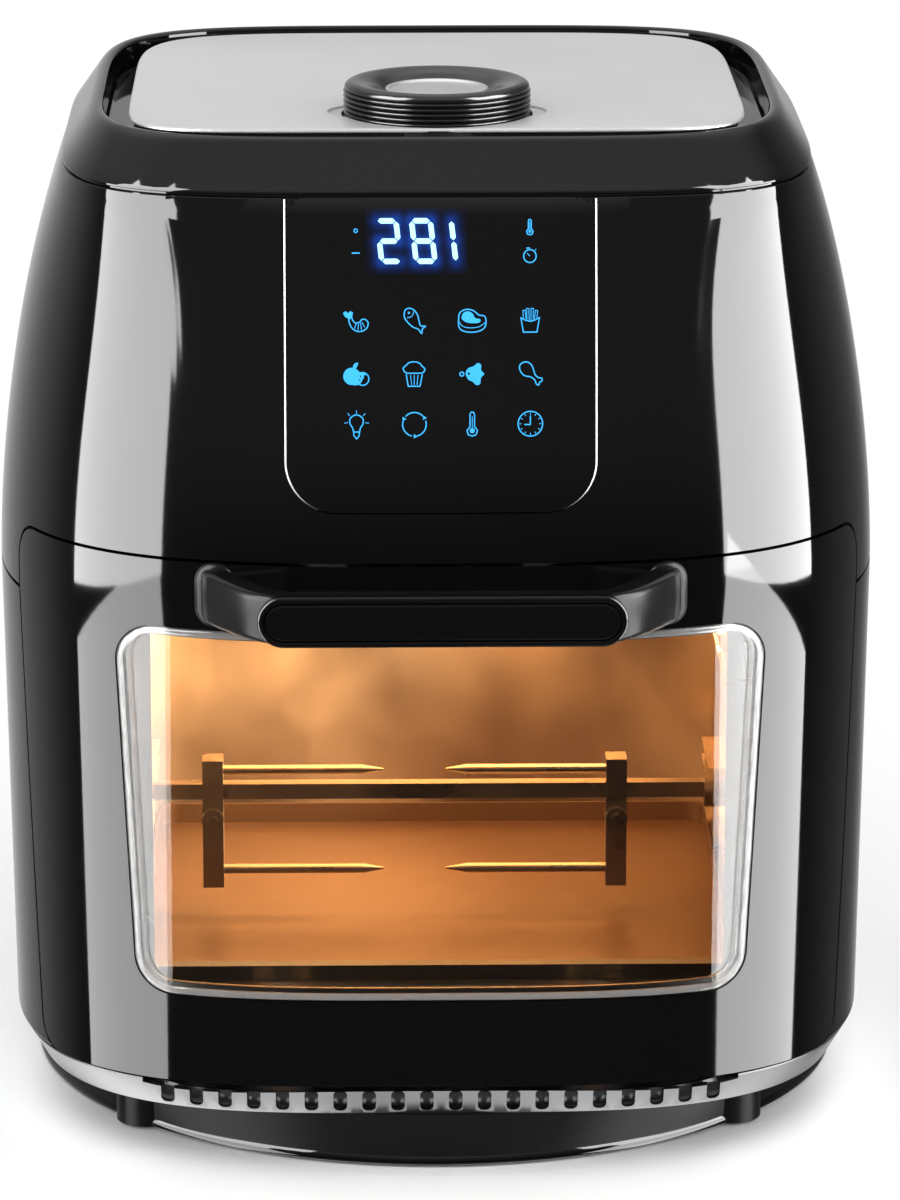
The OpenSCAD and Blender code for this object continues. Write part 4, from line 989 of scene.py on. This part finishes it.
def handle():
    # bent bar behind the face: a rounded section that thickens towards the door
    back = HANDLE_FRONT + 0.0012 + BAR_T / 2
    root = Vector((ROOT_X, front_y(ROOT_X, HANDLE_Z)))
    a, b, c = Vector((0.05, back)), Vector((0.0635, back)), Vector((0.068, back + 0.009))
    right = [(Vector((x, back)), BAR_T, HANDLE_H - 0.0006) for x in (0.0, 0.025, 0.042)]
    for k in range(25):
        t = k / 24
        p = a * (1 - t) ** 3 + b * 3 * t * (1 - t) ** 2 + c * 3 * t * t * (1 - t) + root * t ** 3
        grow = max(0.0, (t - 0.35) / 0.65) ** 1.6
        right.append((p, BAR_T + 0.0006 * grow, HANDLE_H - 0.0006 + 0.0012 * grow))
    path = [(Vector((-p.x, p.y)), w, h) for p, w, h in reversed(right[1:])] + right
    rings = []
    for i, (p, w, h) in enumerate(path):
        t = (path[min(len(path) - 1, i + 1)][0] - path[max(0, i - 1)][0]).normalized()
        n = Vector((t.y, -t.x))
        ring = [(p.x + n.x * s, p.y + n.y * s, HANDLE_Z + z) for s, z in rounded_rect(w, h, 0.0026, 0, 0, 6)]
        if i in (0, len(path) - 1):
            ring = on_front([(x, z) for x, _, z in ring], 0.0016)
        rings.append(ring)
    ob = loft("handle_bar", rings)
    finish_piece(ob, "door", "gloss_black", "handle", look="handle_satin", angle=40)
    # face plate with a raised centre
    half = 0.0655
    steps = [(-0.1945, 0.0), (-0.197, 0.0), (-0.1975, 0.00015), (-0.1979, 0.0005), (-0.19805, 0.001),
             (-0.1981, 0.0017), (-0.19795, 0.0021), (-0.1974, 0.0023), (-0.1968, 0.00235), (-0.1968, 0.0026),
             (-0.1977, 0.0027), (-0.1981, 0.0029), (-0.19825, 0.0033), (-0.1983, 0.004)]
    rings = []
    for y, i in steps:
        outline = rounded_rect(2 * (half - i), HANDLE_H - 2 * i, HANDLE_H / 2 - i - 1e-5, 0, HANDLE_Z, 24)
        rings.append([(x, y, z) for x, z in outline])
    ob = loft("handle_face", rings)
    finish_piece(ob, "door", "gloss_black", "handle_inlay", angle=40)
    for s, side in ((-1, "left"), (1, "right")):
        rings = []
        for off, shrink in ((0.0008, 0), (-0.0003, 0.0001), (-0.001, 0.0006), (-0.0015, 0.0014),
                            (-0.0018, 0.0026)):
            w, h, r = 0.015 - 2 * shrink, 0.0236 - 2 * shrink, 0.007 - shrink
            rings.append(on_front(rounded_rect(w, h, r, s * (ROOT_X - 0.0008), HANDLE_Z, 10), off))
        ob = loft("handle_flange_" + side, rings)
        finish_piece(ob, "door", "gloss_black", look="handle_satin", angle=40)


# ---- window
def outline_ring(grow, off):
    """Ring on the body's front along the window's outline, with its straights split evenly."""
    base = window_outline(grow)
    out = []
    for k, p in enumerate(base):
        q = base[(k + 1) % len(base)]
        steps = WINDOW_SPLIT[k]
        out += [(p[0] + (q[0] - p[0]) * i / steps, p[1] + (q[1] - p[1]) * i / steps) for i in range(steps)]
    return on_front(out, off)


SPLIT_PITCH = 0.004
PLAIN = window_outline(0)
WINDOW_SPLIT = [max(1, round(math.dist(p, q) / SPLIT_PITCH)) for p, q in zip(PLAIN, PLAIN[1:] + PLAIN[:1])]


def window():
    ob = curved_sheet("window_pane", 0.1185, 0.066, 0.2078, 72, 44, 0.0003, 0.0031)
    carve(ob, window_outline(-0.0002), "y", -0.18, -0.11, "INTERSECT")
    body_shading(ob)
    finish_piece(ob, "door", "clear_glass", "window_glass")
    # bevelled edge of the pane: clear glass with a pale share mixed in as a painted reflection, seen as a
    # pale ring
    rings = [outline_ring(grow, off) for grow, off in (
        (-0.0001, 0.0004), (-0.0004, 0), (-0.0009, -0.0002), (-0.002, -0.0001), (-0.0026, 0.0002),
        (-0.0026, 0.0014), (-0.0001, 0.0014))]
    ob = loft("window_edge", rings, loop=True)
    finish_piece(ob, "door", "clear_glass", look="glass_edge", angle=40)
    # black rebate round the pane
    rings = [outline_ring(grow, off) for grow, off in (
        (0.0032, 0.0034), (0.0032, 0.0048), (-0.0038, 0.0048), (-0.0038, 0.0034))]
    ob = loft("window_rebate", rings, loop=True)
    finish_piece(ob, "door", "dark_plastic", "window_frame", angle=40)


def edge_material():
    m = glass("glass_edge", (1, 1, 1), 1.37, rough=0.05)
    tree = m.node_tree
    out = tree.nodes["Material Output"]
    clear = out.inputs["Surface"].links[0].from_socket
    # pale diffuse share mixed into the clear glass: a painted reflection along the bevelled edge
    painted_reflection = tree.nodes.new("ShaderNodeBsdfPrincipled")
    painted_reflection.inputs["Base Color"].default_value = (0.74, 0.75, 0.75, 1)
    painted_reflection.inputs["Roughness"].default_value = 0.18
    mix = tree.nodes.new("ShaderNodeMixShader")
    mix.inputs["Fac"].default_value = 0.19
    tree.links.new(clear, mix.inputs[1])
    tree.links.new(painted_reflection.outputs["BSDF"], mix.inputs[2])
    tree.links.new(mix.outputs["Shader"], out.inputs["Surface"])
    return m


MATS["glass_edge"] = edge_material()
handle()
window()


# ---- carried-over CAD parts
def smooth_group():
    """Geometry nodes that shade faces smooth and keep edges above 30 degrees sharp."""
    group = bpy.data.node_groups.new("smooth_faces", "GeometryNodeTree")
    for way in ("INPUT", "OUTPUT"):
        group.interface.new_socket("Geometry", in_out=way, socket_type="NodeSocketGeometry")
    start, end = group.nodes.new("NodeGroupInput"), group.nodes.new("NodeGroupOutput")
    faces, edges = [group.nodes.new("GeometryNodeSetShadeSmooth") for _ in range(2)]
    edges.domain = "EDGE"
    angle = group.nodes.new("GeometryNodeInputMeshEdgeAngle")
    less = group.nodes.new("FunctionNodeCompare")
    less.operation = "LESS_THAN"
    less.inputs["B"].default_value = math.radians(30)
    for out, socket in ((angle.outputs["Unsigned Angle"], less.inputs["A"]),
                        (less.outputs["Result"], edges.inputs["Shade Smooth"]),
                        (start.outputs[0], faces.inputs["Geometry"]),
                        (faces.outputs["Geometry"], edges.inputs["Geometry"]),
                        (edges.outputs["Geometry"], end.inputs[0])):
        group.links.new(out, socket)
    return group


def by_name(table):
    """A dictionary from each listed name to the key that it is listed under."""
    return {name: key for key, names in table.items() for name in names.split()}


SLOT_OF = by_name({
    "dark_plastic": "rear_grille knob_collar", "rubber_black": "cord_inlet door_gasket",
    "zinc": "chassis_plate housing_screws motor_bracket handle_screws hinge_knuckles hinge_brackets "
            "exhaust_duct board_tray striker_plates",
    "bright_metal": "hinge_pins knob_shaft",
    "circuit_board": "display_board power_board", "display_blue": "display_module",
    "grey_case": "encoder fan_motor spit_motor door_switch door_magnets",
    "steel_sheet": "cooking_chamber front_flange left_rack_rail right_rack_rail fan_guard element_clips "
                   "spit_bearing door_inner_panel temperature_sensor",
    "spit_steel": "rotisserie", "tray_enamel": "drip_tray", "element_sheath": "heating_element",
    "glass_wool": "insulation", "white_ceramic": "lamp_holder thermal_fuse",
    "lamp_glass": "oven_lamp lamp_cover", "brass_bush": "drive_bush", "red_plastic": "switch_plunger",
    "clear_glass": "inner_glass", "aluminium_fan": "hot_air_fan cooling_fan"})
BEVELLED = by_name({
    0.0002: "front_flange left_rack_rail right_rack_rail fan_guard knob_collar rear_grille",
    0.0003: "door_inner_panel hinge_knuckles striker_plates door_magnets spit_bearing switch_plunger",
    0.0004: "rotisserie hinge_brackets cord_inlet inner_glass",
    0.0005: "drip_tray door_gasket"})
SMOOTH = smooth_group()
for name, ob in nodes.items():
    if name not in SLOT_OF:
        continue
    ob.data.materials.clear()
    ob.data.materials.append(MATS[SLOT_OF[name]])
    if name in BEVELLED:
        bevel = ob.modifiers.new("edges", "BEVEL")
        bevel.width = BEVELLED[name]
        bevel.segments = 2
        bevel.limit_method = "ANGLE"
        bevel.angle_limit = math.radians(40)
    shade = ob.modifiers.new("shade", "NODES")
    shade.node_group = SMOOTH

# ---- floor, lights and world
bm = bmesh.new()
bmesh.ops.create_grid(bm, x_segments=4, y_segments=4, size=7)
floor_mesh = bpy.data.meshes.new("floor")
bm.to_mesh(floor_mesh)
bm.free()
floor = bpy.data.objects.new("floor", floor_mesh)
scene.collection.objects.link(floor)
floor.data.materials.append(MATS["floor_paper"])
floor.visible_glossy = False


def area_light(name, width, height, power):
    data = bpy.data.lights.new(name, "AREA")
    data.shape = "RECTANGLE"
    data.size, data.size_y, data.energy = width, height, power
    ob = bpy.data.objects.new(name, data)
    ob.visible_camera = False
    scene.collection.objects.link(ob)
    return ob


def softbox(name, x, y, z, lean, width, height, radiance):
    """Tall light at one side that faces the object and leans in its own plane."""
    ob = area_light(name, width, height, radiance * width * height * math.pi)
    ob.visible_diffuse = False
    s = 1 if x > 0 else -1
    local_z = Vector((s, 0, 0))
    local_y = Vector((0, math.sin(lean), math.cos(lean)))
    local_x = local_y.cross(local_z)
    ob.matrix_world = Matrix((
        (local_x.x, local_y.x, local_z.x, x), (local_x.y, local_y.y, local_z.y, y),
        (local_x.z, local_y.z, local_z.z, z), (0, 0, 0, 1)))


# each row: y, z, lean in degrees, width, height, radiance
for side, x, parts in (
        ("left", -0.6, ((-0.36, 0.585, 0, 0.52, 0.93, 27), (-0.64, 0.925, 0, 0.04, 1.15, 27),
                        (-0.68, 0.934, 0, 0.04, 1.132, 27), (-0.75, 0.975, 0, 0.1, 1.05, 27),
                        (-0.5, 1.275, 0, 0.24, 0.45, 27), (-0.43, -0.23, 12, 0.5, 0.72, 16))),
        ("right", 0.6, ((-0.302, 0.535, 0, 0.52, 0.83, 31), (-0.616, 0.8875, 0, 0.108, 1.025, 31),
                        (-0.461, 1.15, 0, 0.202, 0.4, 31), (-0.39, -0.23, 14, 0.48, 0.72, 21)))):
    for number, (y, z, lean, width, height, radiance) in enumerate(parts):
        softbox("softbox_%s_%d" % (side, number), x, y, z, math.radians(lean), width, height, radiance)


def oven_light(name, place, size, size_y, power, color, aim, spread=180):
    ob = area_light(name, size, size_y, power)
    ob.data.color = color
    ob.data.spread = math.radians(spread)
    ob.location = place
    ob.rotation_mode = "QUATERNION"
    ob.rotation_quaternion = Vector(aim).to_track_quat("-Z", "Y")


WARM = (1.0, 0.42, 0.12)
oven_light("oven_glow", (0.0, 0.0, 0.2), 0.18, 0.16, 2.1, WARM, (0, 0, -1))
oven_light("lamp_glow", (0.11, 0.03, 0.165), 0.05, 0.05, 3.7, (1.0, 0.66, 0.34), (-1, -0.1, -0.05), 95)

world = bpy.data.worlds.new("studio")
scene.world = world
world.use_nodes = True
wt = world.node_tree
background = wt.nodes["Background"]
coord = wt.nodes.new("ShaderNodeTexCoord")
split = wt.nodes.new("ShaderNodeSeparateXYZ")
wt.links.new(coord.outputs["Generated"], split.inputs["Vector"])


def ramp(axis, a, b, lo, hi):
    return map_range(wt, split.outputs[axis], a, b, lo, hi, "SMOOTHSTEP")


def maths(how, a, b):
    node = wt.nodes.new("ShaderNodeMath")
    node.operation = how
    for socket, v in zip(node.inputs, (a, b)):
        if isinstance(v, (int, float)):
            socket.default_value = v
        else:
            wt.links.new(v, socket)
    return node.outputs["Value"]


# mirror-like surfaces see a shaded room; everything else is lit by an even white
EVEN_WHITE = 1.12
rays = wt.nodes.new("ShaderNodeLightPath")
sides = maths("MULTIPLY", ramp("Y", -0.1, 0.6, 0.05, 0.62), ramp("X", -0.1, 0.5, 1.0, 0.3))
ahead = maths("MULTIPLY", ramp("Y", -0.5, -0.1, 1.0, 0.0), ramp("Z", -0.15, 0.1, 0.0, 0.3))
across = maths("ABSOLUTE", split.outputs["X"], 0)
low_mid = map_range(wt, across, 0.005, 0.045, 0.06, 0.6)
below = maths("MULTIPLY", ramp("Z", -0.85, -0.5, 1.0, 0.0), low_mid)
mirror_world = maths("ADD", maths("ADD", maths("ADD", sides, ahead), ramp("Z", 0.45, 0.9, 0.0, 1.2)), below)
strength = maths("ADD", maths("MULTIPLY", rays.outputs["Is Glossy Ray"], mirror_world),
                 maths("MULTIPLY", maths("SUBTRACT", 1.0, rays.outputs["Is Glossy Ray"]), EVEN_WHITE))
wt.links.new(strength, background.inputs["Strength"])
background.inputs["Color"].default_value = (1, 1, 1, 1)
